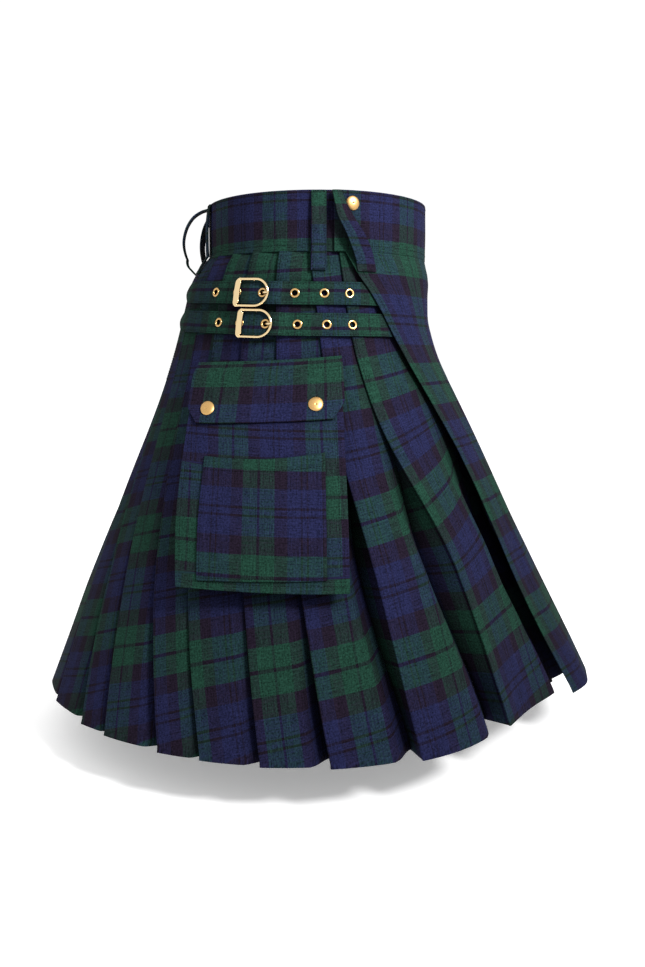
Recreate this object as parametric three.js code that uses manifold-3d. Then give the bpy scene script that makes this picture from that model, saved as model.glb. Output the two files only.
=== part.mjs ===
// Utility kilt, worn and empty: wrap-over aprons, knife pleats, waistband with belt loops,
// two buckled hip straps with eyelets and a bellows cargo pocket on the wearer's right hip.
// Millimetres, +Z up, the wearer faces -Y and the wearer's right side is at -X.
import * as THREE from 'three';
import { mergeVertices } from 'three/addons/utils/BufferGeometryUtils.js';
import Module from 'manifold-3d';

const wasm = await Module();
wasm.setup();

// The figure that fills the kilt: half widths at the waist, and how far the cloth leans out
const waist = { halfWide: 155, halfFront: 126, halfBack: 128 };
const band = { top: -61, bottom: 3.5, thick: 2.8, lap: 3.4, outerEnd: 82.5, innerEnd: -395 };
const originDown = -32;
const skirt = { top: 3.9, hem: 546, wall: 1.2 };

// Lean from the vertical, in degrees, by the distance down the cloth from the waist seam
const lean = [
  { down: 0, front: 1, side: 8, back: 42 },
  { down: 25, front: 1, side: 8, back: 36 },
  { down: 45, front: 1, side: 8, back: 16 },
  { down: 60, front: 2, side: 8, back: 14 },
  { down: 95, front: 14, side: 8, back: 15 },
  { down: 135, front: 25, side: 13, back: 17 },
  { down: 180, front: 26, side: 19, back: 19 },
  { down: 240, front: 26, side: 25, back: 21 },
  { down: 640, front: 26, side: 25, back: 22 },
];

// The skirt stands in a little beside the aprons: how far at the hem, and at which turns
const dents = { deep: 34, at: 38, spread: 20 };

// A named column of a table, read between its rows
function column(table, key, name, at) {
  const last = table.length - 1;
  const next = table.findIndex((row) => row[key] >= at);
  if (next === 0) return table[0][name];
  if (next < 0) return table[last][name];
  const a = table[next - 1];
  const b = table[next];
  const share = (at - a[key]) / (b[key] - a[key]);
  return a[name] + (b[name] - a[name]) * share;
}

// Reach outwards and drop of the front, side and back lines, summed from the lean
const lineStep = 4;
const lines = {};
for (const name of ['front', 'side', 'back']) {
  const line = [{ down: 0, out: 0, drop: 0 }];
  for (let down = lineStep; down <= 640; down += lineStep) {
    const angle = THREE.MathUtils.degToRad(column(lean, 'down', name, down - lineStep / 2));
    const before = line[line.length - 1];
    line.push({
      down,
      out: before.out + lineStep * Math.sin(angle),
      drop: before.drop + lineStep * Math.cos(angle),
    });
  }
  lines[name] = line;
}

function smooth(low, high, value) {
  const k = Math.min(1, Math.max(0, (value - low) / (high - low)));
  return k * k * (3 - 2 * k);
}

// A point of the kilt: turn in degrees from the front towards the wearer's right,
// distance down the cloth from the waist seam, and height above the figure
function on(turn, down, off) {
  const angle = THREE.MathUtils.degToRad(turn);
  const c = Math.cos(angle);
  const s = Math.sin(angle);
  const below = Math.max(0, down);
  const lengthwise = c > 0 ? 'front' : 'back';
  const wrapped = Math.abs(((turn % 360) + 540) % 360 - 180);
  const spread = Math.exp(-(((wrapped - dents.at) / dents.spread) ** 2));
  const dent = dents.deep * (below / skirt.hem) ** 2 * spread;
  const grow = off - dent;
  const wide = waist.halfWide + column(lines.side, 'down', 'out', below) + grow;
  const half = c > 0 ? waist.halfFront : waist.halfBack;
  const long = half + column(lines[lengthwise], 'down', 'out', below) + grow;
  const dropSide = column(lines.side, 'down', 'drop', below);
  const dropLong = column(lines[lengthwise], 'down', 'drop', below);
  const z = originDown - Math.min(0, down) - (dropSide * s * s + dropLong * c * c);
  return [-wide * s, -long * c, z];
}

// Millimetres of cloth for each degree of turn
function perDegree(turn, down, off = 0) {
  const a = on(turn - 0.5, down, off);
  const b = on(turn + 0.5, down, off);
  return Math.hypot(a[0] - b[0], a[1] - b[1]);
}

// Two matching grids of points, the inner and the outer face, closed into one wall
function wall(inner, outer) {
  const rows = inner.length;
  const cols = inner[0].length;
  const points = [...inner.flat(), ...outer.flat()].flat();
  const index = [];
  const inAt = (i, j) => i * cols + j;
  const outAt = (i, j) => rows * cols + i * cols + j;
  const quad = (a, b, c, d) => index.push(a, b, c, a, c, d);
  for (let i = 0; i < rows - 1; i += 1) {
    for (let j = 0; j < cols - 1; j += 1) {
      quad(outAt(i, j), outAt(i + 1, j), outAt(i + 1, j + 1), outAt(i, j + 1));
      quad(inAt(i, j), inAt(i, j + 1), inAt(i + 1, j + 1), inAt(i + 1, j));
    }
    quad(inAt(i, 0), inAt(i + 1, 0), outAt(i + 1, 0), outAt(i, 0));
    quad(outAt(i, cols - 1), outAt(i + 1, cols - 1), inAt(i + 1, cols - 1), inAt(i, cols - 1));
  }
  for (let j = 0; j < cols - 1; j += 1) {
    quad(inAt(0, j), outAt(0, j), outAt(0, j + 1), inAt(0, j + 1));
    quad(outAt(rows - 1, j), inAt(rows - 1, j), inAt(rows - 1, j + 1), outAt(rows - 1, j + 1));
  }
  return closed(points, index);
}

// A ring of section points carried along stations, closed round the section, with end caps
function tube(stations, loop = false) {
  const count = stations[0].length;
  const points = stations.flat().flat();
  const index = [];
  const last = loop ? stations.length : stations.length - 1;
  for (let i = 0; i < last; i += 1) {
    const n = ((i + 1) % stations.length) * count;
    for (let j = 0; j < count; j += 1) {
      const k = (j + 1) % count;
      index.push(i * count + j, n + j, n + k, i * count + j, n + k, i * count + k);
    }
  }
  if (!loop) {
    const end = (stations.length - 1) * count;
    for (let j = 1; j < count - 1; j += 1) {
      index.push(0, j, j + 1, end, end + j + 1, end + j);
    }
  }
  return closed(points, index);
}

// A geometry whose faces point out, whichever way its grid ran
function closed(points, index) {
  let volume = 0;
  const p = (k) => new THREE.Vector3(points[3 * k], points[3 * k + 1], points[3 * k + 2]);
  for (let k = 0; k < index.length; k += 3) {
    volume += p(index[k]).dot(p(index[k + 1]).cross(p(index[k + 2])));
  }
  if (volume < 0) {
    for (let k = 0; k < index.length; k += 3) {
      [index[k + 1], index[k + 2]] = [index[k + 2], index[k + 1]];
    }
  }
  const geometry = new THREE.BufferGeometry();
  geometry.setAttribute('position', new THREE.Float32BufferAttribute(points, 3));
  geometry.setIndex(index);
  geometry.computeVertexNormals();
  return geometry;
}

function toSolid(geometry) {
  const bare = geometry.clone();
  bare.deleteAttribute('normal');
  bare.deleteAttribute('uv');
  const merged = mergeVertices(bare, 1e-4);
  return new wasm.Manifold(new wasm.Mesh({
    numProp: 3,
    vertProperties: new Float32Array(merged.attributes.position.array),
    triVerts: new Uint32Array(merged.index.array),
  }));
}

function fromSolid(solid) {
  const mesh = solid.getMesh();
  const geometry = new THREE.BufferGeometry();
  geometry.setAttribute('position', new THREE.Float32BufferAttribute(mesh.vertProperties, 3));
  geometry.setIndex([...mesh.triVerts]);
  geometry.computeVertexNormals();
  return geometry;
}

const materials = {
  tartan: new THREE.MeshStandardMaterial({ color: 0x263f4c, roughness: 0.9, metalness: 0 }),
  tartanBand: new THREE.MeshStandardMaterial({ color: 0x2c3350, roughness: 0.9, metalness: 0 }),
  brass: new THREE.MeshStandardMaterial({ color: 0xc9a874, roughness: 0.3, metalness: 1 }),
};

const kilt = new THREE.Group();

function piece(name, geometry, material) {
  const mesh = new THREE.Mesh(geometry, material);
  mesh.name = name;
  kilt.add(mesh);
}

function steps(from, to, count) {
  return Array.from({ length: count + 1 }, (_, i) => from + (to - from) * (i / count));
}

// Waistband: one strip that runs round the waist and on under its own outer end
{
  const turns = steps(band.outerEnd, band.innerEnd, 72);
  const middle = -28;
  const downs = [band.top, middle, band.bottom];
  const lapEnd = { from: -52, to: -38 };
  const off = (turn) => band.lap * smooth(lapEnd.from, lapEnd.to, turn);
  const face = (extra) => downs.map((down) => turns.map((turn) => on(turn, down, off(turn) + extra)));
  piece('waistband', wall(face(0), face(band.thick)), materials.tartanBand);
}

// Pleats: the turn of each outer fold at four heights, how deep the valley behind it is
// at mid length and at the hem, and how far the face runs on under the next fold there
const heights = { waist: 4, hip: 175, mid: 370, hem: 546 };
const pleats = [
  { waist: 79, hip: 68.5, mid: 52, hem: 48, deepMid: 30, deepHem: 26, tuckMid: 4, tuckHem: 0 },
  { waist: 93, hip: 85, mid: 76, hem: 72, deepMid: 40, deepHem: 34, tuckMid: -18, tuckHem: -4 },
  { waist: 108, hip: 103, mid: 94, hem: 88, deepMid: 34, deepHem: 32, tuckMid: -12, tuckHem: 0 },
  { waist: 122, hip: 117, mid: 107, hem: 100, deepMid: 12, deepHem: 30, tuckMid: 6, tuckHem: 1 },
  { waist: 135, hip: 131, mid: 121, hem: 111, deepMid: 9, deepHem: 16, tuckMid: 9, tuckHem: 2 },
  { waist: 148, hip: 143, mid: 131, hem: 119.5, deepMid: 8, deepHem: 14, tuckMid: 9, tuckHem: 2 },
  { waist: 160, hip: 155, mid: 143, hem: 133, deepMid: 13, deepHem: 26, tuckMid: 7, tuckHem: 1 },
  { waist: 171, hip: 166, mid: 153, hem: 141, deepMid: 12, deepHem: 24, tuckMid: 7, tuckHem: 1 },
  { waist: 182, hip: 177, mid: 165, hem: 156, deepMid: 15, deepHem: 28, tuckMid: 6, tuckHem: 0 },
  { waist: 193, hip: 188, mid: 178, hem: 169, deepMid: 12, deepHem: 22, tuckMid: 7, tuckHem: 1 },
  { waist: 204, hip: 200, mid: 192, hem: 185, deepMid: 14, deepHem: 25, tuckMid: 6, tuckHem: 1 },
  { waist: 215, hip: 211, mid: 205, hem: 200, deepMid: 11, deepHem: 21, tuckMid: 8, tuckHem: 2 },
  { waist: 226, hip: 223, mid: 218, hem: 214, deepMid: 15, deepHem: 27, tuckMid: 5, tuckHem: 0 },
  { waist: 237, hip: 234, mid: 230, hem: 227, deepMid: 12, deepHem: 23, tuckMid: 7, tuckHem: 1 },
  { waist: 248, hip: 246, mid: 243, hem: 241, deepMid: 16, deepHem: 28, tuckMid: 4, tuckHem: 0 },
  { waist: 259, hip: 257, mid: 255, hem: 253, deepMid: 11, deepHem: 20, tuckMid: 8, tuckHem: 2 },
  { waist: 270, hip: 269, mid: 268, hem: 267, deepMid: 14, deepHem: 26, tuckMid: 6, tuckHem: 1 },
  { waist: 281, hip: 281, mid: 281, hem: 282, deepMid: 18, deepHem: 27, tuckMid: 2, tuckHem: 0 },
  { waist: 291, hip: 293, mid: 296, hem: 299, deepMid: 20, deepHem: 26, tuckMid: 0, tuckHem: -2 },
  { waist: 301, hip: 307, mid: 315, hem: 318, deepMid: 22, deepHem: 25, tuckMid: -4, tuckHem: -4 },
];

// Above the hip the pleats are stitched flat, each tucked under the next
const stitched = { tuck: 15, foldOff: 2.6, opens: 155 };

// Half the bend of a fold, the play in it, and how far the open folds stand up. Open faces
// lie near flat and then roll in; the one beside the apron is all in before the apron's edge
const fold = { gap: 1.6, play: 0.3, lift: 4, bend: 0.75 };
const faceAt = [0.34, 0.66, 0.84];
const roll = { from: 0.66, to: 1 };
const rollByApron = { from: 0.5, to: 0.74 };

// The turn of a pleat's fold at a distance down, between its four heights
function pleatTurn(pleat, down) {
  const stops = ['waist', 'hip', 'mid', 'hem'].map((name) => ({ down: heights[name], turn: pleat[name] }));
  return column(stops, 'down', 'turn', down);
}

// The two ends of the pleated cloth: under the outer apron's right edge, and under its left one
const rightEnd = [
  { down: 4, turn: 70 },
  { down: 72, turn: 50 },
  { down: 126, turn: 38 },
  { down: 244, turn: 25 },
  { down: 317, turn: 22 },
  { down: 546, turn: 18 },
];
const leftEnd = [
  { down: 4, turn: 314 },
  { down: 126, turn: 327 },
  { down: 317, turn: 338 },
  { down: 546, turn: 342 },
];

// Section of the pleats at one height: turns and offs of the middle of the wall, from the
// left end back to the right end, two points at each fold and each valley. The two panels
// part at a seam on the way back out of the valley behind fold seamFold
const seamFold = 9;
const seamGap = 0.4;

function pleatSections(down) {
  const open = smooth(stitched.opens, heights.mid, down);
  const hemward = smooth(heights.mid, heights.hem, down);
  const foldOff = stitched.foldOff + fold.lift * open;
  const left = [];
  const right = [];
  for (let i = pleats.length; i >= 0; i -= 1) {
    const turn = i < pleats.length ? pleatTurn(pleats[i], down) : column(leftEnd, 'down', 'turn', down);
    const shape = pleats[Math.min(i, pleats.length - 1)];
    const ends = i === 0;
    const next = ends ? column(rightEnd, 'down', 'turn', down) : pleatTurn(pleats[i - 1], down);
    const rate = perDegree(turn, down);
    const face = (turn - next) * rate;
    const low = shape.tuckMid + (shape.tuckHem - shape.tuckMid) * hemward;
    const tuck = ends ? 0 : stitched.tuck + (low - stitched.tuck) * open;
    const flatDeep = (2 * fold.gap + fold.play) * (1 + Math.max(0, tuck) / face);
    const lowDeep = Math.max(flatDeep, shape.deepMid + (shape.deepHem - shape.deepMid) * hemward);
    const deep = flatDeep + (lowDeep - flatDeep) * open;
    const valley = next - tuck / rate;
    const path = i > seamFold ? left : right;
    if (i < pleats.length) path.push([turn, foldOff - fold.gap]);
    path.push([turn, foldOff]);
    const bend = fold.bend * open;
    const { from, to } = ends ? rollByApron : roll;
    for (const u of faceAt) {
      const sink = u * (1 - bend) + bend * smooth(from, to, u);
      path.push([turn + (valley - turn) * u, foldOff - deep * sink]);
    }
    path.push([valley, foldOff - deep]);
    if (ends) continue;
    path.push([valley, foldOff - deep + fold.gap]);
    if (i === seamFold + 1) {
      const run = (next - valley) * rate;
      const rise = deep - 2 * fold.gap;
      const share = seamGap / Math.hypot(run, rise) / 2;
      const seam = (k) => [valley + (next - valley) * k, foldOff - deep + fold.gap + rise * k];
      left.push(seam(0.5 - share));
      right.push(seam(0.5 + share));
    }
  }
  return { left, right };
}

// Both faces of a wall whose middle runs along a section path
function facesAlong(path, down, half) {
  const sharpest = 0.6;
  const inner = [];
  const outer = [];
  path.forEach(([turn, off], k) => {
    const rate = perDegree(turn, down);
    const way = (a, b) => {
      const run = (path[b][0] - path[a][0]) * rate;
      const rise = path[b][1] - path[a][1];
      const size = Math.hypot(run, rise) || 1;
      return [run / size, rise / size];
    };
    const before = way(Math.max(0, k - 1), Math.max(1, k));
    const after = way(Math.min(k, path.length - 2), Math.min(k + 1, path.length - 1));
    let nx = -(before[1] + after[1]);
    let ny = before[0] + after[0];
    const size = Math.hypot(nx, ny) || 1;
    nx /= size;
    ny /= size;
    const turnCos = Math.max(sharpest, nx * -before[1] + ny * before[0]);
    const reach = half / turnCos;
    outer.push(on(turn - (nx * reach) / rate, down, off - ny * reach));
    inner.push(on(turn + (nx * reach) / rate, down, off + ny * reach));
  });
  return [inner, outer];
}

const skirtRows = [skirt.top, 30, 62, 90, 115, 140, 175, 225, 290, 380, 460, skirt.hem];

function pleatedPanel(side) {
  const inner = [];
  const outer = [];
  for (const down of skirtRows) {
    const [a, b] = facesAlong(pleatSections(down)[side], down, skirt.wall / 2);
    inner.push(a);
    outer.push(b);
  }
  return wall(inner, outer);
}

piece('pleats_right', pleatedPanel('right'), materials.tartan);
piece('pleats_left', pleatedPanel('left'), materials.tartan);

// Height of the pleats' outer face over the figure, where nothing is folded over it
function overPleats(down) {
  return stitched.foldOff + fold.lift * smooth(stitched.opens, heights.mid, down) + skirt.wall / 2;
}

// A panel between two side edges; its off is the height of its inner face
function panel(rows, cols, rightEdge, leftEdge, off, thick) {
  const face = (extra) => rows.map((down) => {
    const right = column(rightEdge, 'down', 'turn', down);
    const left = column(leftEdge, 'down', 'turn', down);
    return steps(right, left, cols).map((turn) => on(turn, down, off(down, turn) + extra));
  });
  return wall(face(0), face(thick));
}

// Outer apron: its right edge runs down and forward from the wearer's right hip
const apron = { top: 3.9, wall: 1.4 };
const apronRight = [
  { down: 3.9, turn: 77 },
  { down: 29, turn: 71 },
  { down: 47, turn: 65 },
  { down: 72, turn: 58 },
  { down: 99, turn: 52 },
  { down: 126, turn: 46.5 },
  { down: 175, turn: 39 },
  { down: 244, turn: 32 },
  { down: 317, turn: 29 },
  { down: 400, turn: 27 },
  { down: 546, turn: 22 },
];
const apronLeft = [
  { down: 3.9, turn: -53 },
  { down: 72, turn: -46 },
  { down: 126, turn: -40 },
  { down: 244, turn: -31 },
  { down: 546, turn: -26 },
];
const apronOff = [
  { down: 3.9, off: 4.3 },
  { down: 20, off: 7.4 },
  { down: 110, off: 7.4 },
  { down: 150, off: 7 },
  { down: 300, off: 8.4 },
  { down: 546, off: 8.4 },
];
const apronRows = [apron.top, 20, 47, 72, 99, 126, 175, 244, 317, 400, 475, skirt.hem];
const apronHeight = (down) => column(apronOff, 'down', 'off', down);
const apronPanel = panel(apronRows, 16, apronRight, apronLeft, apronHeight, apron.wall);
piece('outer_apron', apronPanel, materials.tartan);

// Under apron: joined to the pleats' right end and hidden by the outer apron
{
  const endOff = (down) => {
    const { right } = pleatSections(down);
    return right[right.length - 1][1] - skirt.wall / 2;
  };
  const seam = 0.5;
  const right = skirtRows.map((down) => {
    const turn = column(rightEnd, 'down', 'turn', down);
    return { down, turn: turn - seam / perDegree(turn, down) };
  });
  const left = [
    { down: skirt.top, turn: -39 },
    { down: 126, turn: -27 },
    { down: 317, turn: -16 },
    { down: skirt.hem, turn: -12 },
  ];
  piece('under_apron', panel(skirtRows, 12, right, left, endOff, skirt.wall), materials.tartan);
}

// Belt loops: a strip along the waistband, sewn at both ends, whose path gives
// the turn of its middle and the height of its inner face
const loopSize = { wide: 16, thick: 1.8 };
const bandFace = band.thick + 0.4;
const lapFace = band.lap + band.thick + 0.4;
const pleatFace = 3.6;
const apronFace = 9.3;
const flatLoop = (turn, off, foot) => [
  { down: -60, turn, off },
  { down: -52, turn, off: off + 1.6 },
  { down: -36, turn, off: off + 3.2 },
  { down: -10, turn, off: off + 3.4 },
  { down: 8, turn, off: Math.max(off + 2.4, foot + 1) },
  { down: 18, turn, off: foot + 0.6 },
  { down: 25, turn, off: foot },
];
const standingLoop = (turn, off, reach) => [
  { down: -60, turn, off },
  { down: -57, turn, off: off + reach * 0.3 },
  { down: -50, turn, off: off + reach * 0.62 },
  { down: -37, turn, off: off + reach * 0.88 },
  { down: -20, turn, off: off + reach },
  { down: -3, turn, off: off + reach * 0.9 },
  { down: 9, turn, off: off + reach * 0.66 },
  { down: 18, turn, off: off + reach * 0.3 },
  { down: 24, turn, off: pleatFace + 0.6 },
];
const beltLoops = {
  belt_loop_right: flatLoop(89.5, bandFace, pleatFace),
  belt_loop_back_right: flatLoop(164, bandFace, pleatFace),
  belt_loop_back: standingLoop(180, bandFace, 31),
  belt_loop_back_left: standingLoop(197, bandFace, 20),
  belt_loop_left: flatLoop(-90, bandFace, pleatFace),
  belt_loop_front_left: flatLoop(-30, lapFace, apronFace),
  belt_loop_front_right: [
    { down: -60, turn: 81.2, off: lapFace },
    { down: -54, turn: 80.8, off: lapFace + 4 },
    { down: -44, turn: 79.8, off: lapFace + 8.5 },
    { down: -30, turn: 77.6, off: lapFace + 11 },
    { down: -14, turn: 74.6, off: lapFace + 10.5 },
    { down: 2, turn: 71.2, off: lapFace + 8 },
    { down: 14, turn: 68.6, off: lapFace + 5 },
    { down: 22, turn: 66.9, off: lapFace + 2.4 },
    { down: 26, turn: 66, off: apronFace },
  ],
};
for (const [name, path] of Object.entries(beltLoops)) {
  const face = (extra) => path.map(({ down, turn, off }) => {
    const half = loopSize.wide / 2 / perDegree(turn, down, off);
    return [-1, 0, 1].map((side) => on(turn + side * half, down, off + extra));
  });
  piece(name, wall(face(0), face(loopSize.thick)), materials.tartanBand);
}

// Millimetres beside, below and above a spot on the kilt
function around(turn, down, off) {
  const rate = perDegree(turn, down, off);
  return (beside, below, height) => on(turn + beside / rate, down + below, off + height);
}

// A ring of profile rows, radius and height, turned about a spot
function ringAbout(place, profile, sides) {
  const stations = Array.from({ length: sides }, (_, k) => {
    const angle = (2 * Math.PI * k) / sides;
    return profile.map(([radius, height]) => place(
      radius * Math.cos(angle),
      radius * Math.sin(angle),
      height,
    ));
  });
  return tube(stations, true);
}

// A dome of profile rows about a spot, its flat back closed by a fan
function dome(place, profile, sides) {
  const points = [...place(0, 0, profile[0][1]), ...place(0, 0, 0)];
  const index = [];
  const rings = profile.length - 1;
  const at = (ring, k) => 2 + (ring - 1) * sides + (k % sides);
  for (let ring = 1; ring <= rings; ring += 1) {
    const [radius, height] = profile[ring];
    for (let k = 0; k < sides; k += 1) {
      const angle = (2 * Math.PI * k) / sides;
      points.push(...place(radius * Math.cos(angle), radius * Math.sin(angle), height));
    }
  }
  for (let k = 0; k < sides; k += 1) {
    index.push(0, at(1, k), at(1, k + 1), 1, at(rings, k + 1), at(rings, k));
    for (let ring = 1; ring < rings; ring += 1) {
      index.push(at(ring, k), at(ring + 1, k), at(ring + 1, k + 1));
      index.push(at(ring, k), at(ring + 1, k + 1), at(ring, k + 1));
    }
  }
  return closed(points, index);
}

const snap = { sides: 16, seat: 0.3 };
const snapDome = [[0, 3.2], [3.6, 2.9], [6.2, 2], [7.5, 0.9], [7.7, 0.3], [7.2, 0]];

// Hip straps: each comes out from under the apron's edge, passes its buckle and ends in a
// point at the back; the buckle's tab holds it from below
const strap = { wide: 25, thick: 1.8, off: 4.2, lift: 4.2, start: 53, square: 158, tip: 168 };
const hole = { radius: 3.4, long: 3.8, sides: 8 };
const straps = [
  { name: 'upper', down: 50, buckle: 116, eyelets: [75, 87, 99, 111.5, 122.6, 135.5] },
  { name: 'lower', down: 84, buckle: 113.5, eyelets: [74, 86, 97.6, 109.3, 119.8, 131] },
];
const raised = { flat: 26.5, ease: 10 };

// Height of a strap's inner face: it rises over its buckle's bar
function strapOff(row, turn) {
  const away = Math.abs(turn - row.buckle) * perDegree(row.buckle, row.down, strap.off);
  return strap.off + strap.lift * (1 - smooth(raised.flat, raised.flat + raised.ease, away));
}

function strapBand(row) {
  const turns = [
    ...steps(strap.start, 97, 9),
    100,
    ...steps(103, 131, 8),
    ...steps(135, strap.square, 5),
    162,
    166,
    strap.tip,
  ];
  const narrowing = 0.92;
  const half = (turn) => (strap.wide / 2) * (1 - narrowing * smooth(strap.square, strap.tip + 3, turn));
  const face = (extra) => turns.map((turn) => [-1, -0.45, 0.45, 1].map((side) => on(
    turn,
    row.down + side * half(turn),
    strapOff(row, turn) + extra,
  )));
  let solid = toSolid(wall(face(0), face(strap.thick)));
  const bore = [[0, hole.long], [hole.radius, hole.long], [hole.radius, 0]];
  for (const turn of row.eyelets) {
    const place = around(turn, row.down, strapOff(row, turn) + (strap.thick - hole.long) / 2);
    solid = solid.subtract(toSolid(dome(place, bore, hole.sides)));
  }
  return fromSolid(solid);
}

// Eyelet: a rolled brass ring through the strap, from its inner flange round to its outer one
const eyelet = { hole: 2.6, barrel: 3, outer: 5.5, inner: 4.6, seat: 0.25, roll: 0.6, sides: 10 };
const eyeletProfile = [
  [eyelet.hole, -eyelet.seat - 0.5],
  [eyelet.inner, -eyelet.seat - 0.3],
  [eyelet.barrel, -eyelet.seat],
  [eyelet.barrel, strap.thick + eyelet.seat],
  [eyelet.outer, strap.thick + eyelet.seat],
  [(eyelet.outer + eyelet.hole) / 2, strap.thick + eyelet.seat + eyelet.roll],
  [eyelet.hole, strap.thick + eyelet.seat + 0.2],
];

// Buckle: a D ring with a broad straight bar, a thin bar under the strap and a prong
const ring = { halfHigh: 14.7, straight: 16, bow: -3.5, wire: 1.4, broad: 3.1, over: 12.8 };
const bar = { along: 2, off: 5.8, wire: 0.75 };
const prongHole = 3;

function buckleMap(row) {
  const rate = perDegree(row.buckle, row.down, strap.off + strap.lift);
  return (along, across, off) => on(row.buckle + along / rate, row.down + across, off);
}

// Oval sections about points of a flat path: in the strap's plane and across it
function wireAlong(map, path, sides, loop) {
  const stations = path.map(({ at, side, wide, high }) => {
    const [along, across, off] = at;
    return Array.from({ length: sides }, (_, k) => {
      const angle = (2 * Math.PI * k) / sides;
      const reach = wide * Math.cos(angle);
      return map(along + side[0] * reach, across + side[1] * reach, off + high * Math.sin(angle));
    });
  });
  return tube(stations, loop);
}

function buckleFrame(row) {
  const map = buckleMap(row);
  const wire = { wide: ring.wire, high: ring.wire };
  const broad = { wide: ring.broad, high: ring.wire };
  const path = [];
  for (const angle of steps(90, 270, 10)) {
    const c = Math.cos(THREE.MathUtils.degToRad(angle));
    const s = Math.sin(THREE.MathUtils.degToRad(angle));
    path.push({ at: [ring.bow + ring.halfHigh * c, ring.halfHigh * s, ring.over], side: [c, s], ...wire });
  }
  path.push({ at: [ring.straight - 3, -ring.halfHigh, ring.over], side: [0, -1], ...wire });
  path.push({ at: [ring.straight, -ring.halfHigh, ring.over], side: [0.7, -0.7], ...wire });
  path.push({ at: [ring.straight, -ring.halfHigh + 3.5, ring.over], side: [1, 0], ...broad });
  path.push({ at: [ring.straight + 0.5, 0, ring.over], side: [1, 0], ...broad });
  path.push({ at: [ring.straight, ring.halfHigh - 3.5, ring.over], side: [1, 0], ...broad });
  path.push({ at: [ring.straight, ring.halfHigh, ring.over], side: [0.7, 0.7], ...wire });
  path.push({ at: [ring.straight - 3, ring.halfHigh, ring.over], side: [0, 1], ...wire });
  const frame = toSolid(wireAlong(map, path, 8, true));
  const low = bar.off - bar.wire;
  const high = bar.off + bar.wire;
  const leg = ring.halfHigh + bar.wire;
  const foot = ring.halfHigh - bar.wire;
  const barSection = (across, near, far) => [
    map(bar.along - bar.wire, across, near),
    map(bar.along + bar.wire, across, near),
    map(bar.along + bar.wire, across, far),
    map(bar.along - bar.wire, across, far),
  ];
  const rod = toSolid(tube([barSection(-leg, low, high), barSection(leg, low, high)]));
  const legs = [-1, 1].map((side) => toSolid(tube([
    barSection(side * leg, low, ring.over),
    barSection(side * foot, low, ring.over),
  ])));
  return fromSolid(frame.add(rod).add(legs[0]).add(legs[1]));
}

function buckleProng(row) {
  const map = buckleMap(row);
  const hook = 1.8;
  const radius = 0.6;
  const turns = [-80, -30, 20, 60];
  const path = turns.map((angle) => {
    const c = Math.cos(THREE.MathUtils.degToRad(angle));
    const s = Math.sin(THREE.MathUtils.degToRad(angle));
    return [bar.along + hook * c, bar.off + hook * s];
  });
  const rate = perDegree(row.buckle, row.down, strap.off + strap.lift);
  const through = (row.eyelets[prongHole] - row.buckle) * rate;
  path.push([0, 6.9], [through + 3, 6.4], [through + 1.1, 6.9], [through + 0.1, 8.6]);
  path.push([through - 0.4, 10.9], [through - 2, 13.4]);
  path.push([-17, ring.over + ring.wire + 1.1], [-20.4, ring.over + ring.wire + 0.6]);
  const stations = path.map(([along, off], k) => {
    const a = path[Math.max(0, k - 1)];
    const b = path[Math.min(path.length - 1, k + 1)];
    const size = Math.hypot(b[0] - a[0], b[1] - a[1]);
    const [nx, ny] = [-(b[1] - a[1]) / size, (b[0] - a[0]) / size];
    return Array.from({ length: 6 }, (_, j) => {
      const angle = (Math.PI * j) / 3;
      const c = radius * Math.cos(angle);
      return map(along + nx * c, radius * 1.6 * Math.sin(angle), off + ny * c);
    });
  });
  return tube(stations);
}

// The tab that holds a buckle: it loops round the bar, slotted for the prong
function buckleTab(row) {
  const map = buckleMap(row);
  const radius = bar.wire + 0.55 + 0.5;
  const sleeve = [-90, -135, 180, 135, 90].map((angle) => {
    const c = Math.cos(THREE.MathUtils.degToRad(angle));
    const s = Math.sin(THREE.MathUtils.degToRad(angle));
    return [bar.along + radius * c, bar.off + radius * s];
  });
  const middle = [[24, 4.2], [16, 4.2], [8, 4.1], ...sleeve, [8, 7.1], [16, 6.6], [24, 5.6]];
  const half = 0.5;
  const faces = [-1, 1].map((side) => middle.map(([along, off], k) => {
    const a = middle[Math.max(0, k - 1)];
    const b = middle[Math.min(middle.length - 1, k + 1)];
    const size = Math.hypot(b[0] - a[0], b[1] - a[1]);
    const nx = -(b[1] - a[1]) / size;
    const ny = (b[0] - a[0]) / size;
    return [-11, 11].map((across) => map(along + side * nx * half, across, off + side * ny * half));
  }));
  const solid = toSolid(wall(faces[0], faces[1]));
  const slotSection = (along) => [[-2, 2.6], [2, 2.6], [2, 9.5], [-2, 9.5]]
    .map(([across, off]) => map(along, across, off));
  const slot = toSolid(tube([slotSection(-3), slotSection(2), slotSection(7)]));
  return fromSolid(solid.subtract(slot));
}

for (const row of straps) {
  piece(`strap_${row.name}`, strapBand(row), materials.tartan);
  piece(`buckle_frame_${row.name}`, buckleFrame(row), materials.brass);
  piece(`buckle_prong_${row.name}`, buckleProng(row), materials.brass);
  piece(`buckle_tab_${row.name}`, buckleTab(row), materials.tartan);
  row.eyelets.forEach((turn, k) => {
    const place = around(turn, row.down, strapOff(row, turn));
    const shape = ringAbout(place, eyeletProfile, eyelet.sides);
    piece(`eyelet_${row.name}_${k + 1}`, shape, materials.brass);
  });
}

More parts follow.
